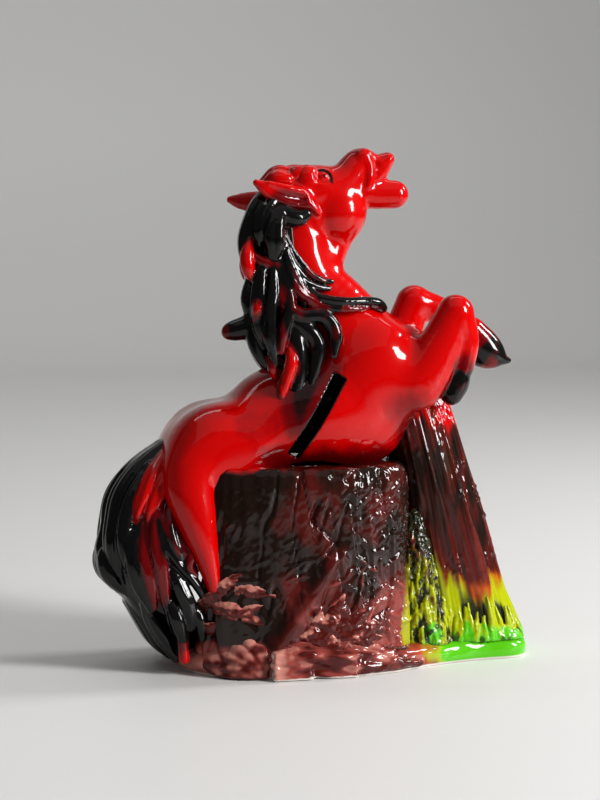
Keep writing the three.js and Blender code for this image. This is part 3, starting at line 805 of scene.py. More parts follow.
CURL_LOCKS = [
    (0.0, [[-22.4, -7, 127, 1.8], [-23.4, -8, 120, 3.0], [-21.6, -8, 114, 3.6], [-23.4, -7.6, 111.0, 4.0],
        [-27.6, -6.6, 109.6, 3.5], [-29.0, -6.2, 109.4, 3.0]]),
    (0.6, [[-28.6, -6.6, 109.4, 2.6], [-29.8, -6.2, 109.0, 2.6]]),
]
FORELOCK_LOCKS = [
    (0.5, [[-17.6, -3.6, 156.2, 1.8], [-15.8, -4.8, 157.4, 2.4]]),
    (1.0, [[-16.4, -4.6, 156.8, 1.8], [-14.0, -5.4, 158.2, 3.2], [-10.8, -6.2, 158.2, 2.2]]),
    (1.0, [[-16.6, 0.5, 157.4, 2.2], [-13.2, -1.8, 160.0, 3.0], [-9.4, -3.4, 160.2, 2.4]]),
    (1.0, [[-9.4, -4.8, 158.4, 2.2], [-6.6, -5.0, 160.0, 3.0], [-3.6, -4.8, 160.2, 2.2]]),
    (1.0, [[-13, 3.4, 158.4, 2.4], [-8, 2.6, 160.6, 2.8], [-2.4, 0.8, 161.6, 1.8]]),
]
CREST = [
    [-11.5, 0, 153, 6, 8],
    [-14.5, 0, 143, 8.4, 10.2],
    [-14.0, 0, 131, 9.6, 11.2],
    [-12, 0, 119, 10.6, 12.6],
    [-8.6, 0, 107, 10.2, 13.2],
    [-8, 0, 98, 7, 11],
]
HAIR_GROUPS = [
    ("mane_crest", CREST_LOCKS, (-1,)),
    ("mane_cheek_right", CHEEK_LOCKS, (-1,)),
    ("mane_cheek_left", CHEEK_LOCKS, (1,)),
    ("mane_chest_right", CHEST_LOCKS, (-1,)),
    ("mane_shoulder_right", SHOULDER_LOCKS, (-1,)),
    ("mane_shoulder_left", SHOULDER_LOCKS, (1,)),
    ("mane_curl", CURL_LOCKS, (-1,)),
    ("forelock", FORELOCK_LOCKS, (-1,)),
]


STRANDS = 5
THINNEST_GROOVED = 1.9
SHORTEST_GROOVED = 14


def on_side(stations, side):
    """The stations as they are for side -1, the near one, or mirrored for side 1."""
    return stations if side < 0 else mirrored(stations)


def far_copy(locks, forward, narrow, drop):
    """The locks of the far side: mirrored, and moved a little so that they don't match the near ones."""
    return [(red, [[s[0] + forward, -s[1] * narrow, s[2] - drop, s[3]] for s in lock]) for red, lock in locks]


def strands(stations, seed, grooved=True):
    """The limbs of one lock: a few thinner strands that run along it and meet at its ends."""
    line = np.array([[*s[:4]] for s in stations], float)
    length = np.linalg.norm(np.diff(line[:, :3], axis=0), axis=1).sum()
    if line[:, 3].max() < THINNEST_GROOVED or length < SHORTEST_GROOVED or not grooved:
        return limb(line)
    rng = np.random.default_rng(seed)
    start = rng.uniform(0, 2 * math.pi)
    out = limb(line * [1, 1, 1, 0.82])
    for i in range(STRANDS):
        turn = start + 2 * math.pi * i / STRANDS + rng.uniform(-0.3, 0.3)
        turn = turn + np.linspace(0, rng.uniform(-0.5, 0.5), len(line))
        offset = 0.52 * line[:, 3] * np.sin(math.pi * np.linspace(0.08, 0.96, len(line))) ** 0.4
        moved = line.copy()
        moved[:, 0] += offset * np.cos(turn)
        moved[:, 1] += offset * np.sin(turn)
        moved[:, 3] *= rng.uniform(0.50, 0.62)
        out += limb(moved)
    return out


def hair_locks():
    """Every lock of the mane, as {node: [(how red, stations)]}."""
    out = {}
    for node, locks, sides in HAIR_GROUPS:
        out[node] = [(red, on_side(stations, side)) for side in sides for red, stations in locks]
    out["mane_crest"] += far_copy(CREST_LOCKS, 3.8, 0.97, 1.5)
    return out


def lock_masks(locks, core=None):
    """Paint that follows the locks: near a lock a point takes that lock's colour."""

    def masks(p, n):
        total = np.zeros(len(p))
        weight = np.full(len(p), 1e-9)
        groups = [(red, limb(stations)) for red, stations in locks]
        if core:
            groups += [(0.0, core)]
        for red, shape in groups:
            w = np.exp(-near(p, shape) / 0.45)
            total += w * red
            weight += w
        red = total / weight + 0.16 * noise(p, (3, 3, 8), 21, 2)
        return {"black": smooth(0.46, 0.16, red), "deep": smooth(0.95, 0.55, red)}

    return masks


def build_mane():
    locks = hair_locks()
    s = Sculpt((-36, -24, 76), (26, 24, 168), HAIR_STEP)
    s.merge(limb(CREST), 1)
    for seed, (node, stations) in enumerate((node, lock[1]) for node in locks for lock in locks[node]):
        s.merge(strands(stations, seed, "shoulder" not in node and "curl" not in node), 0.5)
    verts, tris = s.mesh()
    verts = relax(verts, tris, 2)
    parts = {node: sum((limb(stations) for _, stations in group), []) for node, group in locks.items()}
    parts["mane_crest"] += limb(CREST)
    order = {node: parts[node] for node in parts if node != "mane_crest"}
    order["mane_crest"] = parts["mane_crest"]
    paint = lock_masks([lock for group in locks.values() for lock in group], limb(CREST))
    add_split(order, "mane_crest", verts, tris, HAIR, paint)


TAIL_CORE = [
    [-50, 0, 69, 5.5, 7],
    [-56.5, 0, 60, 8.6, 12.5],
    [-60, 0, 48, 9.2, 16],
    [-58.4, 0, 34.5, 10.6, 17],
    [-51.4, 0, 21, 10.2, 16],
    [-45.6, 0, 9, 7, 12],
]
TAIL_LOCKS = [
    (0.0, [[-50, -3, 72.5, 2.4], [-58, -5, 66.5, 3.4], [-64.4, -7, 58, 3.8], [-67.0, -8, 49, 3.6],
        [-68.0, -9, 40, 3.4], [-66.4, -10, 32, 1.4]]),
    (0.0, [[-55, 0, 69.5, 2.4], [-62, 0, 63.4, 3.4], [-66.8, 0, 55, 3.4], [-68.4, -1, 46, 3.2],
        [-69.2, -2, 38, 4.2], [-66.4, -3, 30, 4.0], [-61, -3, 22, 1.6]]),
    (0.0, [[-66.5, -5, 43, 2.4], [-69.4, -6, 37.4, 3.8], [-67.8, -7, 30.6, 4.2], [-63.2, -8, 25.6, 2.0]]),
    (1.0, [[-51, -7, 70, 2.0], [-55.2, -11.6, 64, 3.0], [-59, -14, 56.6, 2.6], [-61.6, -15, 49.6, 1.0]]),
    (0.9, [[-49.5, -10, 67, 2.0], [-52.4, -13.6, 61.4, 2.8], [-55.8, -15.4, 54.4, 2.6],
        [-57.8, -16, 47, 1.2]]),
    (0.0, [[-56, -8.6, 66.6, 1.6], [-61.6, -11, 58.6, 2.8], [-64.6, -13, 50, 2.8],
        [-65.2, -14.4, 41, 2.6], [-63.6, -15, 32, 1.2]]),
    (0.1, [[-60.6, -14.6, 49, 1.4], [-62.4, -16, 40, 2.8], [-60.6, -17, 30, 2.8], [-57, -17, 21, 1.4]]),
    (0.55, [[-58.6, -15.6, 48, 1.4], [-59.2, -17.4, 39, 2.4], [-57.4, -18.2, 29.6, 2.4],
        [-55.8, -17.6, 22, 1.0]]),
    (0.45, [[-54, -15, 56, 1.6], [-55.4, -17.4, 46, 2.8], [-54.4, -18.6, 36, 3.0], [-53, -18.8, 26, 2.2],
        [-51, -18, 18, 1.0]]),
    (0.4, [[-50, -14.6, 56, 1.8], [-51, -17.6, 48, 2.8], [-49, -19, 40.6, 2.8], [-46.4, -19.4, 34, 1.2]]),
    (0.0, [[-55.4, -17, 51, 0.9], [-52.8, -19, 42, 1.7], [-47.8, -20, 35, 1.9], [-42.8, -20.6, 29, 1.8],
        [-39.6, -20.6, 22, 0.8]]),
    (0.0, [[-51.6, -18, 37, 1.4], [-48.6, -19.6, 29.6, 2.6], [-45.6, -20, 22, 2.6], [-44.6, -19.6, 15, 1.2]]),
    (0.6, [[-46.6, -19.4, 42.6, 0.9], [-44.8, -20.6, 38.6, 1.5], [-45.4, -20.8, 35, 1.4],
        [-43.0, -20.8, 32.6, 0.8]]),
    (0.05, [[-51.6, -17.6, 26, 1.8], [-49.6, -19.4, 18.6, 3.0], [-47.6, -19, 12, 2.2], [-46.6, -18, 7, 1.0]]),
    (0.0, [[-58.6, -13, 25, 2.2], [-55.6, -14, 17.6, 3.2], [-51.6, -14, 10.6, 3.2],
        [-48.6, -13.6, 4.6, 2.0]]),
    (0.0, [[-62, -4, 22, 2.4], [-57.4, -5, 15.4, 3.0], [-53.4, -6, 8.6, 2.8], [-49.6, -6, 4.0, 1.6]]),
    (0.8, [[-48.2, -18.4, 14.4, 0.9], [-47.4, -19.2, 10, 1.6], [-46.8, -18.8, 5.4, 1.8]]),
    (0.0, [[-44.6, -18.6, 24, 1.4], [-42, -20, 18, 2.2], [-41, -19.6, 12, 1.4]]),
]


def build_tail():
    locks = TAIL_LOCKS + far_copy(TAIL_LOCKS, 0, 1, 1.0)
    s = Sculpt((-76, -26, 1.5), (-32, 26, 82), HAIR_STEP)
    s.merge(limb(TAIL_CORE), 1)
    for seed, (_, stations) in enumerate(locks):
        s.merge(strands(stations, 100 + seed), 0.6)
    s.field = np.maximum(s.field, (2.2 - s.places(s.window(s.low, s.low + 500))[2]).astype(np.float32))
    verts, tris = s.mesh()
    verts = relax(verts, tris, 2)
    add_piece("tail_look", "tail", verts, tris, HAIR, lock_masks(locks, limb(TAIL_CORE)))


# ---- The ground: stump, trunk, base, roots, leaves, moss and grass ----

GROUND_PAINTS = [
    (None, (0.012, 0.005, 0.003)),
    ("rust", (0.075, 0.006, 0.004)),
    ("rose", (0.27, 0.045, 0.036)),
    ("pink", (0.56, 0.22, 0.17)),
    ("red", (0.52, 0.0, 0.0)),
    ("orange", (0.62, 0.09, 0.004)),
    ("moss", (0.36, 0.40, 0.002)),
    ("grass", (0.085, 0.47, 0.004)),
    ("crevice", (0.012, 0.014, 0.004)),
    ("bare", (0.72, 0.66, 0.60)),
]
GROUND = lacquer("glazed_ground", GROUND_PAINTS, bump=0.02, bump_size=3.0, roughness=0.28)
STUMP_PROFILE = [(0, 35.5), (16, 34.5), (34, 33.5), (60, 33.0), (STUMP_TOP - 1.5, 32.2), (STUMP_TOP, 30.5)]
STUMP_SQUARENESS = 2.6
STUMP_DEPTH_SHARE = 0.89
CHAMBER_WALL = 5.0
CHAMBER_TOP = 61.0
PASSAGE_REACH = 13.0
ARC_PER_DEGREE = 0.58  # mm round the bark
BULGE, BULGE_ANGLE, BULGE_SPREAD = 6.5, -148, 15  # the stump swells beside the hind leg's foot


def squared_reach(angle):
    c, s = np.abs(np.cos(angle)), np.abs(np.sin(angle))
    return (c**STUMP_SQUARENESS + s**STUMP_SQUARENESS) ** (-1 / STUMP_SQUARENESS)


def on_stump(angle, z, out=0.0):
    """A point on the smooth side of the stump, moved outward by out. Angles are in radians."""
    radius = np.interp(z, *zip(*STUMP_PROFILE)) + out
    radius = radius + BULGE * np.exp(-(((np.degrees(angle) - BULGE_ANGLE) / BULGE_SPREAD) ** 2))
    reach = squared_reach(angle) * radius
    return np.stack([STUMP_X + reach * np.cos(angle), STUMP_DEPTH_SHARE * reach * np.sin(angle),
        z + 0 * reach], -1)


def ring_mesh(rings, poles=False):
    """Triangles over rings of points, (n, m, 3). The last ring joins the first, or poles close the ends."""
    n, m = rings.shape[:2]
    at = np.arange(n * m).reshape(n, m)
    if not poles:
        at = np.vstack([at, at[:1]])
    a, b = at[:-1], at[1:]
    a2, b2 = np.roll(a, -1, axis=1), np.roll(b, -1, axis=1)
    tris = np.vstack([np.stack([a, a2, b2], -1).reshape(-1, 3), np.stack([a, b2, b], -1).reshape(-1, 3)])
    verts = rings.reshape(-1, 3)
    if poles:
        low, high = n * m, n * m + 1
        verts = np.vstack([verts, rings[0].mean(axis=0), rings[-1].mean(axis=0)])
        first, last = at[0], at[-1]
        tris = np.vstack(
            [
                tris,
                np.stack([np.roll(first, -1), first, np.full(m, low)], -1),
                np.stack([last, np.roll(last, -1), np.full(m, high)], -1),
            ]
        )
    return verts, tris


def chips(places, count, seed, where):
    """Small raised slivers of bark. places is (arc in mm, height), where(rng) picks one's middle."""
    rng = np.random.default_rng(seed)
    out = np.zeros(len(places))
    for _ in range(count):
        arc, height = where(rng)
        turn = rng.uniform(-0.9, 0.9) + (math.pi / 2) * (rng.random() < 0.35)
        length, width = rng.uniform(1.8, 4.4), rng.uniform(0.35, 0.9)
        lift = rng.uniform(0.4, 1.1)
        u = places[:, 0] - arc
        v = places[:, 1] - height
        along = (u * math.cos(turn) + v * math.sin(turn)) / length
        across = (-u * math.sin(turn) + v * math.cos(turn)) / width
        inside = np.clip(1 - along**2 - across**2, 0, 1)
        out = np.maximum(out, lift * np.sqrt(inside) * (1 + 0.5 * across))
    return out


def stump_relief(angle, z):
    """How far the bark stands out in mm, and how much of that is raised slivers and chips."""
    arc = np.degrees(angle) * ARC_PER_DEGREE
    flat = np.stack([arc, z, 0 * z], -1)
    at = on_stump(angle, z)
    wander = noise(at, (9, 9, 14), 31)
    plates = noise(at + 1.6 * wander[:, None], (5.5, 5.5, 30), 32)
    cracks = smooth(0.16, 0.0, np.abs(noise(at + 1.2 * wander[:, None], (5, 5, 26), 33)))
    ridges = noise(at, (2.2, 2.2, 11), 34)
    pebbles = np.abs(noise(at, 1.9, 35)) + 0.5 * np.abs(noise(at, 1.0, 36))
    degrees = np.degrees(angle)
    rough = 0.2 + 0.9 * smooth(-100, -70, degrees) * smooth(38, 52, z)
    rough = np.maximum(rough, 0.5 * smooth(58, 63, z))
    smoothed = smooth(-172, -160, degrees) * smooth(-136, -144, degrees)
    meander = np.abs(degrees + 93 - 5 * np.sin(z / 5.2) - 3 * np.sin(z / 2.1)) * ARC_PER_DEGREE
    crack = smooth(1.4, 0.2, meander) * smooth(12, 18, z) * smooth(58, 54, z)
    front = chips(flat, 80, 41, lambda r: (r.uniform(-66, -22), r.uniform(9, 44)))
    around = chips(flat, 46, 42, lambda r: (r.uniform(-104, 104), r.uniform(8, 50)))
    path = -84 - 33 * (39 - z) / 32
    root = np.exp(-(((degrees - path) * ARC_PER_DEGREE / 3.4) ** 2)) * smooth(44, 34, z)
    raised = np.maximum(front, 0.7 * around) * (1 - 0.8 * smoothed) * (1 - root)
    out = 0.8 * plates + 0.30 * ridges * (1 - 0.5 * smoothed) - 0.9 * cracks - 1.4 * crack
    out = out * (1 - 0.8 * root) + 2.6 * root
    out += rough * 0.55 * pebbles * (1 - smoothed) + raised
    return out - 0.3, raised


def build_stump():
    columns = 420
    angle = -math.pi + 2 * math.pi * np.arange(columns) / columns
    bottom = BASE_TOP - 1.2
    heights = np.concatenate([np.arange(bottom, STUMP_TOP - 1.4, 0.62),
        [STUMP_TOP - 0.7, STUMP_TOP]])
    grid_z = np.repeat(heights, columns)
    grid_angle = np.tile(angle, len(heights))
    relief, raised = stump_relief(grid_angle, grid_z)
    rim = 0.6 * noise(on_stump(grid_angle, grid_z), (4, 4, 40), 37) * smooth(STUMP_TOP - 6, STUMP_TOP, grid_z)
    outer = on_stump(grid_angle, grid_z, relief)
    outer[:, 2] += rim
    rings = [outer.reshape(len(heights), columns, 3)]
    reach = squared_reach(angle)

    def level(radius, z, blend):
        """A ring of the given radius, round where blend is 0 and squared like the stump where it is 1."""
        r = radius * (1 + blend * (reach - 1))
        y_share = 1 + blend * (STUMP_DEPTH_SHARE - 1)
        return np.stack([STUMP_X + r * np.cos(angle), y_share * r * np.sin(angle), np.full(columns, z)],
            -1)[None]

    for share in (0.75, 0.5, 0.25):
        top = level(PASSAGE_REACH + share * 16, STUMP_TOP, share)
        top[..., 2] += 0.5 * noise(top[0], 3, 38)
        rings.append(top)
    rings += [level(PASSAGE_REACH, STUMP_TOP - 0.8, 0), level(PASSAGE_REACH, CHAMBER_TOP + 0.8, 0)]
    rings += [level(PASSAGE_REACH + 0.8, CHAMBER_TOP, 0), level(33 - CHAMBER_WALL, CHAMBER_TOP, 1)]
    for z, radius in ((55, 33), (34, 33.5), (16, 34.5), (bottom, 35.3)):
        rings.append(level(radius - CHAMBER_WALL, z, 1))
    verts, tris = ring_mesh(np.concatenate(rings))

    def masks(p, n):
        lift = np.zeros(len(p))
        lift[: len(raised)] = raised
        x, _, z = p.T
        low = smooth(38, 14, z + 7 * noise(p, 9, 51)) * smooth(-26, -14, x + 3 * noise(p, 6, 53))
        wash = noise(p, (7, 7, 9), 52, 2)
        rose = smooth(0.25, 0.9, lift + 0.25 * wash) * (0.30 + 0.75 * low)
        warm = 0.6 * smooth(8, 17, x + 3 * wash) * smooth(34, 22, z + 4 * wash)
        pink = smooth(0.75, 1.3, lift + 0.3 * wash) * smooth(26, 12, z)
        foot = smooth(13, 8, z + 2 * wash)
        red = smooth(STUMP_TOP - 3, STUMP_TOP, z + 2.5 * wash) * smooth(-8, -30, x + 9 * wash)
        moss = smooth(21, 29, x + 4 * wash) * smooth(46, 12, z + 8 * wash)
        return {
            "rust": np.clip(0.35 + 0.5 * wash + 0.55 * low - 0.5 * smooth(-8, -22, x), 0, 1),
            "rose": np.max([rose, 0.75 * foot, 0.5 * low * smooth(0.0, 0.6, wash + 0.02 * x), warm], axis=0),
            "pink": pink,
            "red": 0.9 * red,
            "orange": 0.5 * moss * smooth(14, 8, z),
            "moss": 0.8 * moss,
        }

    add_piece("stump_look", "stump", verts, tris, GROUND, masks)


TRUNK = [
    [5.9, 51.2, 20.2, 16.4],
    [8.5, 51.0, 19.8, 16.2],
    [13.8, 50.0, 18.6, 15.6],
    [21, 48.3, 17.3, 14.9],
    [30.9, 46.1, 16.3, 14.3],
    [41.8, 43.9, 15.5, 13.6],
    [52.7, 41.7, 14.4, 12.9],
    [64, 39.2, 13.3, 12.2],
    [77.4, 35.7, 12.8, 11.6],
    [84, 34.0, 12.2, 11.0],
    [89, 32.6, 9.5, 8.5],
    [91, 32, 6, 5.5],
]


def build_trunk():
    columns = 360
    angle = 2 * math.pi * np.arange(columns) / columns
    table = np.array(TRUNK)
    heights = np.arange(TRUNK[0][0], TRUNK[-1][0], 0.85)
    z = np.repeat(heights, columns)
    a = np.tile(angle, len(heights))
    middle, half_x, half_y = (np.interp(z, table[:, 0], table[:, i]) for i in (1, 2, 3))
    at = np.stack([middle + half_x * np.cos(a), half_y * np.sin(a), z], -1)
    steady = np.stack([15 * np.cos(a), 15 * np.sin(a), z * 0.16], -1)
    wander = noise(steady, (5, 5, 4), 61)
    flutes = noise(steady + 0.7 * wander[:, None], (2.6, 2.6, 6), 62)
    fine = noise(steady + 0.5 * wander[:, None], (1.0, 1.0, 4), 63)
    sharp = 1 - 1.6 * np.abs(noise(steady, (3.6, 3.6, 9), 64))
    specks = np.clip(np.abs(noise(at, 1.6, 65)) - 0.35, 0, 1) * smooth(0.0, 0.5, noise(at, 11, 66))
    growth = smooth(24, 12, z + 4 * noise(at, 6, 67))
    blades = np.abs(noise(np.stack([15 * np.cos(a), 15 * np.sin(a), z * 0.25], -1), (2.8, 2.8, 8), 68))
    fade = smooth(90, 80, z)
    relief = fade * (0.85 * flutes + 0.34 * fine + 0.5 * sharp * (1 - growth) + 0.9 * specks)
    relief += growth * (1.5 * blades - 0.2)
    out = np.stack([np.cos(a) / half_x, np.sin(a) / half_y, 0.02 + 0 * a], -1)
    out /= np.linalg.norm(out, axis=1, keepdims=True)
    at += out * (relief - 0.4)[:, None]
    verts, tris = ring_mesh(at.reshape(len(heights), columns, 3), poles=True)
    groove = np.concatenate([flutes + 0.5 * sharp + growth * (2 * blades - 0.8), [0, 0]])

    def masks(p, n):
        x, y, z = p.T
        streak = noise(p, (3.2, 3.2, 16), 71, 2)
        wash = noise(p, 7, 72)
        climb = 14 * smooth(46, 36, x) * smooth(3, 10, np.abs(y))
        level = z + 3.5 * streak + 2 * wash - climb
        red = smooth(74, 84, z + 5 * streak + 2 * wash + 0.35 * (x - 38))
        wet = smooth(0.1, -0.5, groove) * smooth(32, 12, z) + 0.9 * smooth(48, 38, x) * streak
        return {
            "rust": np.clip(0.25 + 0.6 * streak + 0.35 * smooth(60, 30, z) + 0.6 * smooth(66, 78, z), 0, 1),
            "rose": 0.35 * smooth(0.5, 1.0, groove + 0.3 * streak),
            "red": red,
            "orange": 0.5 * smooth(31, 25, level) * smooth(30, 52, x + 6 * wash),
            "moss": np.clip(smooth(31, 15, level + 4 * streak) - 0.35 * smooth(46, 36, x), 0, 1),
            "grass": smooth(13, 7, z + 3 * wash) * smooth(40, 50, x),
            "crevice": np.clip(wet, 0, 1),
        }

    add_piece("trunk_look", "trunk", verts, tris, GROUND, masks)


BASE_OUTLINE = [
    (-47.5, 0), (-46, -11), (-41, -20.0), (-32, -27.5), (-23.0, -31.0), (-10, -32.4), (6, -32.4),
    (20, -29.5), (34, -22), (50, -16.8), (65, -14.8), (70.3, -10), (71.3, 0), (70, 10), (64, 14.5),
    (49, 17.5), (34, 23), (20, 30), (4, 33.8), (-14, 33.8), (-30, 28), (-41, 20), (-46, 11),
]
HOLE_RADIUS = 15.0
RECESS_RADIUS = 18.5
RECESS_DEPTH = 3.2


def green_share(p):
    """Where the ground's paint turns from rose to green."""
    return smooth(25, 43, p[:, 0] + 4 * noise(p, (7, 7, 4), 81, 2))


def base_masks(p, n):
    x, _, z = p.T
    wash = noise(p, (8, 8, 5), 82, 2)
    green = green_share(p)
    seam = smooth(25, 30, x + 3 * wash) * (1 - smooth(33, 38, x))
    return {
        "rust": 1 - 0.3 * smooth(-0.2, 0.5, wash),
        "rose": 0.55 + 0.4 * wash,
        "pink": 0.45 * smooth(-8, -24, x) + 0.25 * smooth(0, 0.5, wash) * smooth(0, -20, x),
        "orange": 0.4 * seam,
        "moss": 0.9 * smooth(0.2, 0.7, green + 0.2 * wash),
        "grass": smooth(0.4, 0.9, green + 0.25 * wash),
        "crevice": 0.8 * smooth(0.25, 0.6, noise(p, (3.4, 3.4, 3.0), 83)) * smooth(5, 8, z) * green,
        "bare": smooth(0.95, 0.7, z + 0.25 * noise(p, 2.6, 84)),
    }


def build_base():
    closed = BASE_OUTLINE + BASE_OUTLINE[:1]
    line = catmull_rom([BASE_OUTLINE[-1], *closed, BASE_OUTLINE[1]], 60)[60:-61]
    gaps = np.linalg.norm(np.diff(line, axis=0, append=line[:1]), axis=1)
    run = np.concatenate([[0], np.cumsum(gaps)])
    columns = 620
    where = np.arange(columns) / columns * run[-1]
    loop = np.stack([np.interp(where, run, np.append(line[:, i], line[0, i])) for i in (0, 1)], -1)
    tangent = np.roll(loop, -1, axis=0) - np.roll(loop, 1, axis=0)
    outward = np.stack([-tangent[:, 1], tangent[:, 0]], -1)
    outward /= np.linalg.norm(outward, axis=1, keepdims=True)
    if ((loop - loop.mean(axis=0)) * outward).sum() < 0:
        outward = -outward
    angle = np.arctan2(loop[:, 1], loop[:, 0] - STUMP_X)
    hub = np.stack([STUMP_X + np.cos(angle), np.sin(angle)], -1) - [STUMP_X, 0]
    rings = []
    sides = [(0.0, -0.5), (0.5, -0.15), (1.1, 0.1), (1.9, 0.35), (2.9, 0.45), (3.9, 0.3), (4.9, 0.05),
        (5.8, -0.5), (6.5, -1.3), (BASE_TOP, -2.4)]
    for z, out in sides:
        ring = np.column_stack([loop + outward * out, np.full(columns, z)])
        green = smooth(32, 44, loop[:, 0])
        bumps = noise(ring, (9, 9, 3), 85) * 0.7 + noise(ring, (3, 3, 2.2), 86) * 0.45 * (1 - 0.6 * green)
        ring[:, :2] += outward * (bumps * smooth(0, 2.5, z) * 0.9)[:, None]
        ring[:, 2] += 0.5 * noise(ring, 5, 87) * smooth(2, 6, z)
        rings.append(ring)
    edge = rings[-1]
    for share in (0.93, 0.85, 0.75, 0.6, 0.4, 0.2):
        flat = hub[:, :2] * HOLE_RADIUS + [STUMP_X, 0]
        mixed = flat * (1 - share) + edge[:, :2] * share
        ring = np.column_stack([mixed, np.full(columns, BASE_TOP)])
        lumps = 0.5 * noise(ring, 4, 88) + 0.35 * noise(ring, 2, 89)
        ring[:, 2] += np.where(share > 0.5, lumps, 0) + 0.2
        rings.append(ring)

    def circle(radius, z):
        return np.column_stack([hub[:, :2] * radius + [STUMP_X, 0], np.full(columns, z)])

    rings += [circle(HOLE_RADIUS, BASE_TOP - 0.3), circle(HOLE_RADIUS, RECESS_DEPTH),
        circle(RECESS_RADIUS, RECESS_DEPTH)]
    rings += [circle(RECESS_RADIUS, 0.3), circle(RECESS_RADIUS + 0.3, 0)]
    verts, tris = ring_mesh(np.stack(rings))
    if np.linalg.det(np.stack([outward[0], tangent[0]])) < 0:
        tris = tris[:, ::-1]
    add_piece("base_look", "base", verts, tris, GROUND, base_masks)


def build_lump(name, shapes, blend, relief, masks, step=0.5, floor=BASE_TOP - 1.0):
    """Merges shapes into one small closed piece, roughened by relief(points) along its normals."""
    low = np.min([part[0] for shape in shapes for part in shape], axis=0) - 2
    high = np.max([part[1] for shape in shapes for part in shape], axis=0) + 2
    s = Sculpt(low, high, step * (1))
    for shape in shapes:
        s.merge(shape, blend)
    s.field = np.maximum(s.field, (floor + 0.2 - s.places(s.window(low, high))[2]).astype(np.float32))
    verts, tris = s.mesh()
    verts = relax(verts, tris, 2)
    verts += vertex_normals(verts, tris) * (relief(verts) * smooth(floor, floor + 1.2, verts[:, 2]))[:, None]
    verts[:, 2] = np.maximum(verts[:, 2], floor)
    add_piece(name + "_look", name, verts, tris, GROUND, masks)


def rose_masks(pinkness):
    """Dry-brushed rose paint on a dark ground, turning pinker as pinkness nears 1. It is lighter on upward
    faces, a painted highlight, and darker on downward faces, a painted shade.
    """

    def masks(p, n):
        wash = noise(p, (4, 4, 3), 91, 2)
        # hollow marks downward faces; the dark it lays is painted shade, and the rise of rose and pink with
        # n[:, 2] is a painted highlight.
        hollow = 0.9 * smooth(0.5, -0.6, 0.3 * noise(p, 1.1, 92, 2) + n[:, 2])
        return {
            "rust": np.ones(len(p)),
            "rose": np.clip(0.4 + 0.7 * wash + 0.4 * n[:, 2] - 0.8 * hollow, 0, 1),
            "pink": np.clip(pinkness + 0.8 * wash + 0.3 * n[:, 2] - hollow, 0, 1),
        }

    return masks


def leaf(start, end, width, lift=-0.3):
    """A long leaf lying on the bark from start to end, each an angle in degrees and a height."""
    out = []
    for share, size in ((0.0, 0.3), (0.3, 1.1), (0.55, 1.25), (0.85, 0.6), (1.0, 0.12)):
        angle = math.radians(start[0] + share * (end[0] - start[0]))
        z = start[1] + share * (end[1] - start[1]) + 0.6 * math.sin(math.pi * share)
        p = on_stump(np.array(angle), np.array(z), lift)
        out.append([*p, max(1.2 * width * size, 0.35), max(0.4 * width * size, 0.4)])
    return limb(out)


LEAVES = {
    "leaf_1": [
        ((-136, 30), (-160, 14), 2.1), ((-131, 33), (-147, 25), 1.5), ((-149, 20), (-152, 34), 1.3),
        ((-141, 25), (-158, 20), 1.6), ((-140, 17), (-156, 11), 1.7),
    ],
    "leaf_2": [((-150, 24), (-121, 17), 2.0), ((-141, 28), (-117, 26), 1.5), ((-137, 19), (-123, 23), 1.2)],
    "leaf_3": [
        ((-105, 13), (-82, 10), 2.0), ((-93, 10), (-80, 26), 1.7), ((-100, 11), (-92, 21), 1.3),
        ((-97, 16), (-86, 15), 1.2),
    ],
    "leaf_4": [
        ((-87, 8.6), (-57, 17), 2.2), ((-84, 13), (-63, 22), 1.6), ((-80, 9.6), (-59, 11.6), 1.6),
        ((-76, 15), (-70, 25), 1.2), ((-72, 12), (-52, 21), 1.2),
    ],
    "leaf_5": [((100, 28), (126, 21), 2.1), ((114, 19), (130, 28), 1.5), ((106, 22), (118, 17), 1.4)],
    "leaf_6": [((84, 22), (56, 17), 2.1), ((76, 27), (60, 24), 1.5), ((80, 16), (64, 12), 1.5)],
}


def grain(p):
    return 0.35 * noise(p, (2.2, 2.2, 1.4), 93) + 0.15 * noise(p, 0.9, 94)


def build_leaves():
    for name, blades in LEAVES.items():
        build_lump(name, [leaf(*blade) for blade in blades], 0.4, grain, rose_masks(0.2), 0.38)


PETALS = [  # turn in degrees, length, width
    (80, 0.8, 0.75),
    (99, 1.1, 0.85),
    (120, 1.0, 0.85),
    (138, 1.15, 0.8),
    (155, 1.05, 0.75),
    (171, 1.1, 0.8),
]


def build_rocks():
    """A low mound on each side of the hind end, pressed into a fan of petals."""
    for name, side in (("rock_right", -1), ("rock_left", 1)):
        shapes = [ellipsoid((-31.5, side * 19, 4.0), (10.0, 8.0, 6.0)), ellipsoid((-36, side * 14.5, 7.5),
            (7, 6, 5.6))]
        for turn, length, width in PETALS:
            petal = []
            for reach, size in ((0, 1.6), (5, 2.6), (10, 3.1), (14.5, 1.5)):
                bent = math.radians(turn + 1.2 * reach)
                out = reach * length
                height = 1.0 + 0.9 * out * math.sin(bent)
                petal.append([-23 + out * math.cos(bent), side * (30.8 - 0.042 * out**2), height,
                    size * width])
            shapes.append(limb(petal))

        def relief(p):
            return 0.35 * grain(p)

        def masks(p, n):
            wash = noise(p, (4, 4, 3), 98, 2)
            front = smooth(14, 20, np.abs(p[:, 1]))
            return {
                # The rose and pink are the rocks' own paint; their rise on upward faces (n[:, 2]) is a
                # painted highlight.
                "rust": np.ones(len(p)),
                "rose": np.clip(front * (0.45 + 0.6 * wash + 0.6 * n[:, 2]), 0, 1),
                "pink": np.clip(front * (0.1 + 0.6 * wash + 0.7 * n[:, 2]), 0, 1),
            }

        build_lump(name, shapes, 0.3, relief, masks, 0.42, 0.3)


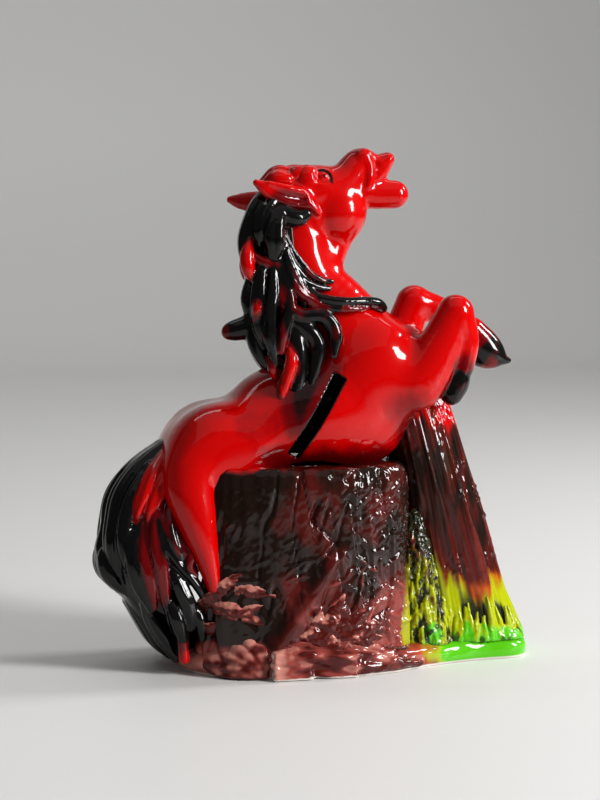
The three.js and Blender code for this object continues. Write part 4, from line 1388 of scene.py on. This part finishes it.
def build_root():
    shapes = [
        block((-14.6, -30.6, 4.4), (6.4, 4.4, 4.4), 2, 3, 0.7),
        block((-6, -29.4, 4.6), (13, 4.6, 4.2), 4, -1, 1.0),
        limb([[0, -29.6, 4.4, 4.2, 4.4], [10, -28.6, 3.8, 3.8, 4.2], [20, -26.4, 3.2, 3.0, 4.0],
            [29, -23, 2.6, 2.0, 3.0]]),
    ]
    rolls = [
        [[-18.4, -29, 8.4, 2.2], [-9, -29, 10.0, 2.6], [2, -29, 9.2, 2.2], [14, -28.4, 8.0, 1.6],
            [24, -25.4, 7.0, 0.9]],
        [[-19, -33.4, 6.8, 1.4], [-6, -33.0, 6.6, 1.7], [8, -32.0, 6.2, 1.6], [20, -28.4, 6.2, 0.9]],
        [[-10, -25, 12.6, 2.4], [0, -26.5, 12, 2.2], [10, -27, 9.6, 1.6]],
        [[2, -31.6, 5.0, 1.4], [12, -31.2, 4.4, 1.6], [22, -27.2, 4.6, 0.9]],
    ]
    shapes += [limb(roll) for roll in rolls]

    def relief(p):
        return 0.8 * noise(p, (9, 2.2, 1.9), 95) + 0.4 * noise(p, (2.6, 1.2, 1.1), 96)

    def masks(p, n):
        x, _, z = p.T
        wash = noise(p, (7, 3, 3), 97, 2)
        return {
            # The rose's rise on upward faces (n[:, 2]) is a painted highlight over the root's own paint.
            "rust": np.ones(len(p)),
            "rose": np.clip(0.35 + 0.8 * wash + 0.3 * n[:, 2] + smooth(-12, -18, x), 0, 1),
            "pink": np.clip(smooth(-15, -19, x + 1.5 * wash) + 0.5 * smooth(0.2, 0.6, wash), 0, 1),
            "bare": np.maximum(0.5 * smooth(-19.6, -21, x + wash),
                smooth(0.95, 0.7, z + 0.25 * noise(p, 2.6, 84))),
        }

    build_lump("root_stub", shapes, 1.1, relief, masks, 0.42, 0.0)


GRASS_BLADES = 24
MOSS_SLIVERS = 70


def build_plants():
    """A row of grass at the trunk's foot and a skirt of moss up the stump's corner, on each side."""
    rng = np.random.default_rng(7)
    for side, word in ((-1, "right"), (1, "left")):
        blades = [ellipsoid((54, side * 12.2, 6.5), (15, 4.4, 5.0))]
        for i in range(GRASS_BLADES):
            x = 38 + 1.32 * i + rng.uniform(-0.5, 0.5)
            lean = rng.uniform(-1.4, 1.0) - 0.16 * (x - 51)
            top = rng.uniform(11, 21)
            edge = 16.2 * math.sqrt(max(0.05, 1 - ((x - 51.2) / 20.6) ** 2))
            y = side * (edge + rng.uniform(-0.2, 0.4))
            foot, middle = [x, y, 5.8, 1.1], [x + 0.3 * lean, y - side * 0.5, 0.5 * top + 3, 1.0]
            blades.append(limb([foot, middle, [x + lean, y - side * 0.11 * (top - 6), top, 0.4]]))

        def relief(p):
            return 0.22 * noise(p, (1.2, 1.2, 4), 101) + 0.14 * noise(p, 0.9, 102)

        def masks(p, n):
            z = p[:, 2]
            wash = noise(p, (3, 3, 5), 103, 2)
            pits = noise(p, (1.8, 1.8, 3.0), 104) + 0.12 * (8 - z)
            return {
                "moss": np.ones(len(p)),
                "grass": 0.9 * smooth(13, 8, z + 4 * wash),
                "crevice": 0.65 * smooth(-0.1, 0.5, pits) * smooth(16, 8, z),
            }

        build_lump("grass_" + word, blades, 0.35, relief, masks, 0.45)

        spine = [[34, side * 14.5, 6, 9.4, 5.4], [33.4, side * 14.4, 15, 8.0, 4.8],
            [32.4, side * 13.8, 26, 6.2, 4.0]]
        tufts = [limb([*spine, [31.6, side * 12.6, 37, 4.6, 3.0], [31, side * 11.5, 47, 3.0, 2.0]])]
        for _ in range(MOSS_SLIVERS):
            z = rng.uniform(6, 40)
            spread = 9.0 - 0.13 * z
            offset = rng.uniform(-1, 1)
            x = 34.2 - 0.08 * z + spread * offset
            y = side * (19.6 - 0.09 * z - 2.6 * offset**2)
            reach, bend = rng.uniform(2.5, 6), rng.uniform(-2.4, 2.4)
            top, middle = [x, y, z, 0.5], [x + 0.4 * bend, y + side * 0.5, z - 0.5 * reach,
                rng.uniform(0.6, 1.0)]
            tufts.append(limb([top, middle, [x + bend, y, z - reach, 0.4]]))

        def moss_masks(p, n):
            x, _, z = p.T
            wash = noise(p, 2.6, 105, 2)
            return {
                "rust": np.ones(len(p)),
                "orange": 0.4 * smooth(0.1, 0.6, wash) * smooth(33, 28, x),
                "moss": np.clip(0.8 + 0.5 * wash - 0.9 * smooth(26, 44, z + 5 * wash), 0, 1),
                "grass": 0.8 * smooth(0.2, 0.9, noise(p, 7, 106) + 0.25 * wash + 0.06 * (14 - z)),
                "crevice": 0.9 * smooth(0.3, -0.5, noise(p, (1.3, 1.3, 6.0), 107, 2) - 0.012 * (z - 8)),
            }

        def moss_relief(p):
            return 0.8 * noise(p, (1.3, 1.3, 6.0), 107, 2) + 0.3 * noise(p, 0.9, 108)

        build_lump("moss_" + word, tufts, 0.4, moss_relief, moss_masks, 0.42)


# ---- The stopper under the base ----

STOPPER_PROFILE = [
    (0.6, 9.6), (10.6, 9.6), (11.4, 8.6), (12.4, 1.6), (12.9, 0.9), (17.0, 0.9), (17.6, 1.2), (17.8,
        1.9), (17.6, 2.6),
    (17.0, 2.9), (15.2, 2.95), (14.8, 3.3), (14.7, 4.2), (14.95, 6.4), (14.7, 7.4), (14.3, 10.2), (13.6,
        10.9),
    (12.8, 11.0), (0.6, 11.0),
]


def build_stopper():
    rubber, _, _, shader = new_material("stopper_rubber")
    shader.inputs["Base Color"].default_value = (0.60, 0.57, 0.50, 1)
    shader.inputs["Roughness"].default_value = 0.55
    shader.inputs["Coat Weight"].default_value = 0.1
    columns = 96
    angle = 2 * math.pi * np.arange(columns) / columns
    profile = np.array(STOPPER_PROFILE)
    fine = []
    for a, b in zip(profile, profile[1:]):
        fine += [a + (b - a) * t for t in (0, 0.5)]
    fine.append(profile[-1])
    rings = [np.column_stack([STUMP_X + r * np.cos(angle), r * np.sin(angle), np.full(columns, z)]) for r,
        z in fine]
    verts, tris = ring_mesh(np.stack(rings), poles=True)
    add_piece("stopper_look", "stopper", verts, tris, rubber, body="stopper")
    bar = block((STUMP_X, 0, 5.6), (12.2, 1.5, 4.0), edge=0.7)
    s = Sculpt((STUMP_X - 14, -3, 0), (STUMP_X + 14, 3, 11), 0.4)
    s.merge(bar, 0.3)
    verts, tris = s.mesh()
    add_piece("stopper_finger_bar", "stopper", verts, tris, rubber, body="stopper")


# ---- The stage ----

WALL_Y = 2.3


def stage():
    """A pale floor that curves up into a plain wall, and is darker far to the sides and in front."""
    bend = 0.6
    profile = [(-4.0, 0.0), (WALL_Y - bend, 0.0)]
    for i in range(1, 24):
        turn = math.pi / 2 * i / 24
        profile.append((WALL_Y - bend + bend * math.sin(turn), bend - bend * math.cos(turn)))
    profile += [(WALL_Y, bend), (WALL_Y, 4.0)]
    verts = [(x, y, z) for y, z in profile for x in (-5, 5)]
    faces = [(2 * i, 2 * i + 1, 2 * i + 3, 2 * i + 2) for i in range(len(profile) - 1)]
    mesh = bpy.data.meshes.new("backdrop")
    mesh.from_pydata(verts, [], faces)
    mesh.shade_smooth()
    paint, nodes, links, shader = new_material("backdrop_paint")
    place = nodes.new("ShaderNodeSeparateXYZ")
    links.new(nodes.new("ShaderNodeTexCoord").outputs["Object"], place.inputs[0])
    fade = nodes.new("ShaderNodeMapRange")
    fade.inputs["From Min"].default_value = -0.75
    fade.inputs["From Max"].default_value = -0.30
    spread = nodes.new("ShaderNodeMath")
    spread.operation = "ABSOLUTE"
    links.new(place.outputs["X"], spread.inputs[0])
    reach = nodes.new("ShaderNodeMath")
    reach.operation = "MULTIPLY_ADD"
    reach.inputs[1].default_value = -0.85
    links.new(spread.outputs[0], reach.inputs[0])
    links.new(place.outputs["Y"], reach.inputs[2])
    links.new(reach.outputs[0], fade.inputs["Value"])
    tint = nodes.new("ShaderNodeMix")
    tint.data_type = "RGBA"
    tint.inputs["A"].default_value = (0.07, 0.07, 0.07, 1)
    tint.inputs["B"].default_value = (0.76, 0.755, 0.74, 1)
    links.new(fade.outputs["Result"], tint.inputs["Factor"])
    links.new(tint.outputs["Result"], shader.inputs["Base Color"])
    shader.inputs["Roughness"].default_value = 0.5
    mesh.materials.append(paint)
    add_object("backdrop", mesh)


def light(name, place, target, size, power):
    data = bpy.data.lights.new(name, "AREA")
    data.shape = "RECTANGLE"
    data.size, data.size_y = size
    data.energy = power
    made = add_object(name, data)
    made.location = place
    made.rotation_euler = (Vector(target) - Vector(place)).to_track_quat("-Z", "Y").to_euler()


CAMERA_PLACE = (-134.4, -608.4, 130)
CAMERA_DIP = 4.03  # degrees below level
CAMERA_TURN = 12  # degrees round from the front


def camera():
    data = bpy.data.cameras.new("camera")
    data.lens = 85
    data.sensor_width = 36
    made = add_object("camera", data)
    made.location = Vector(CAMERA_PLACE) * MM + SHIFT
    made.rotation_euler = (math.radians(90 - CAMERA_DIP), 0, math.radians(-CAMERA_TURN))
    bpy.context.scene.camera = made


def world():
    made = bpy.data.worlds.new("studio")
    made.use_nodes = True
    made.node_tree.nodes["Background"].inputs["Color"].default_value = (0.10, 0.10, 0.10, 1)
    made.node_tree.nodes["Background"].inputs["Strength"].default_value = 1.0
    bpy.context.scene.world = made
    bpy.context.scene.view_settings.view_transform = "Standard"


build_horse()
build_mane()
build_tail()
build_stump()
build_trunk()
build_base()
build_leaves()
build_rocks()
build_root()
build_plants()
build_stopper()
stage()
camera()
world()
light("key", (0.80, -0.62, 0.46), (0, 0, 0.09), (0.24, 0.50), 15)
light("rim", (0.95, 0.10, 0.70), (0, 0, 0.10), (0.18, 0.26), 6)
light("top", (-0.1, -0.6, 1.9), (0, 0, 0.0), (2.6, 2.2), 5)
light("wall", (0.0, 0.9, 2.4), (0, 2.3, 0.5), (3.0, 0.6), 17)
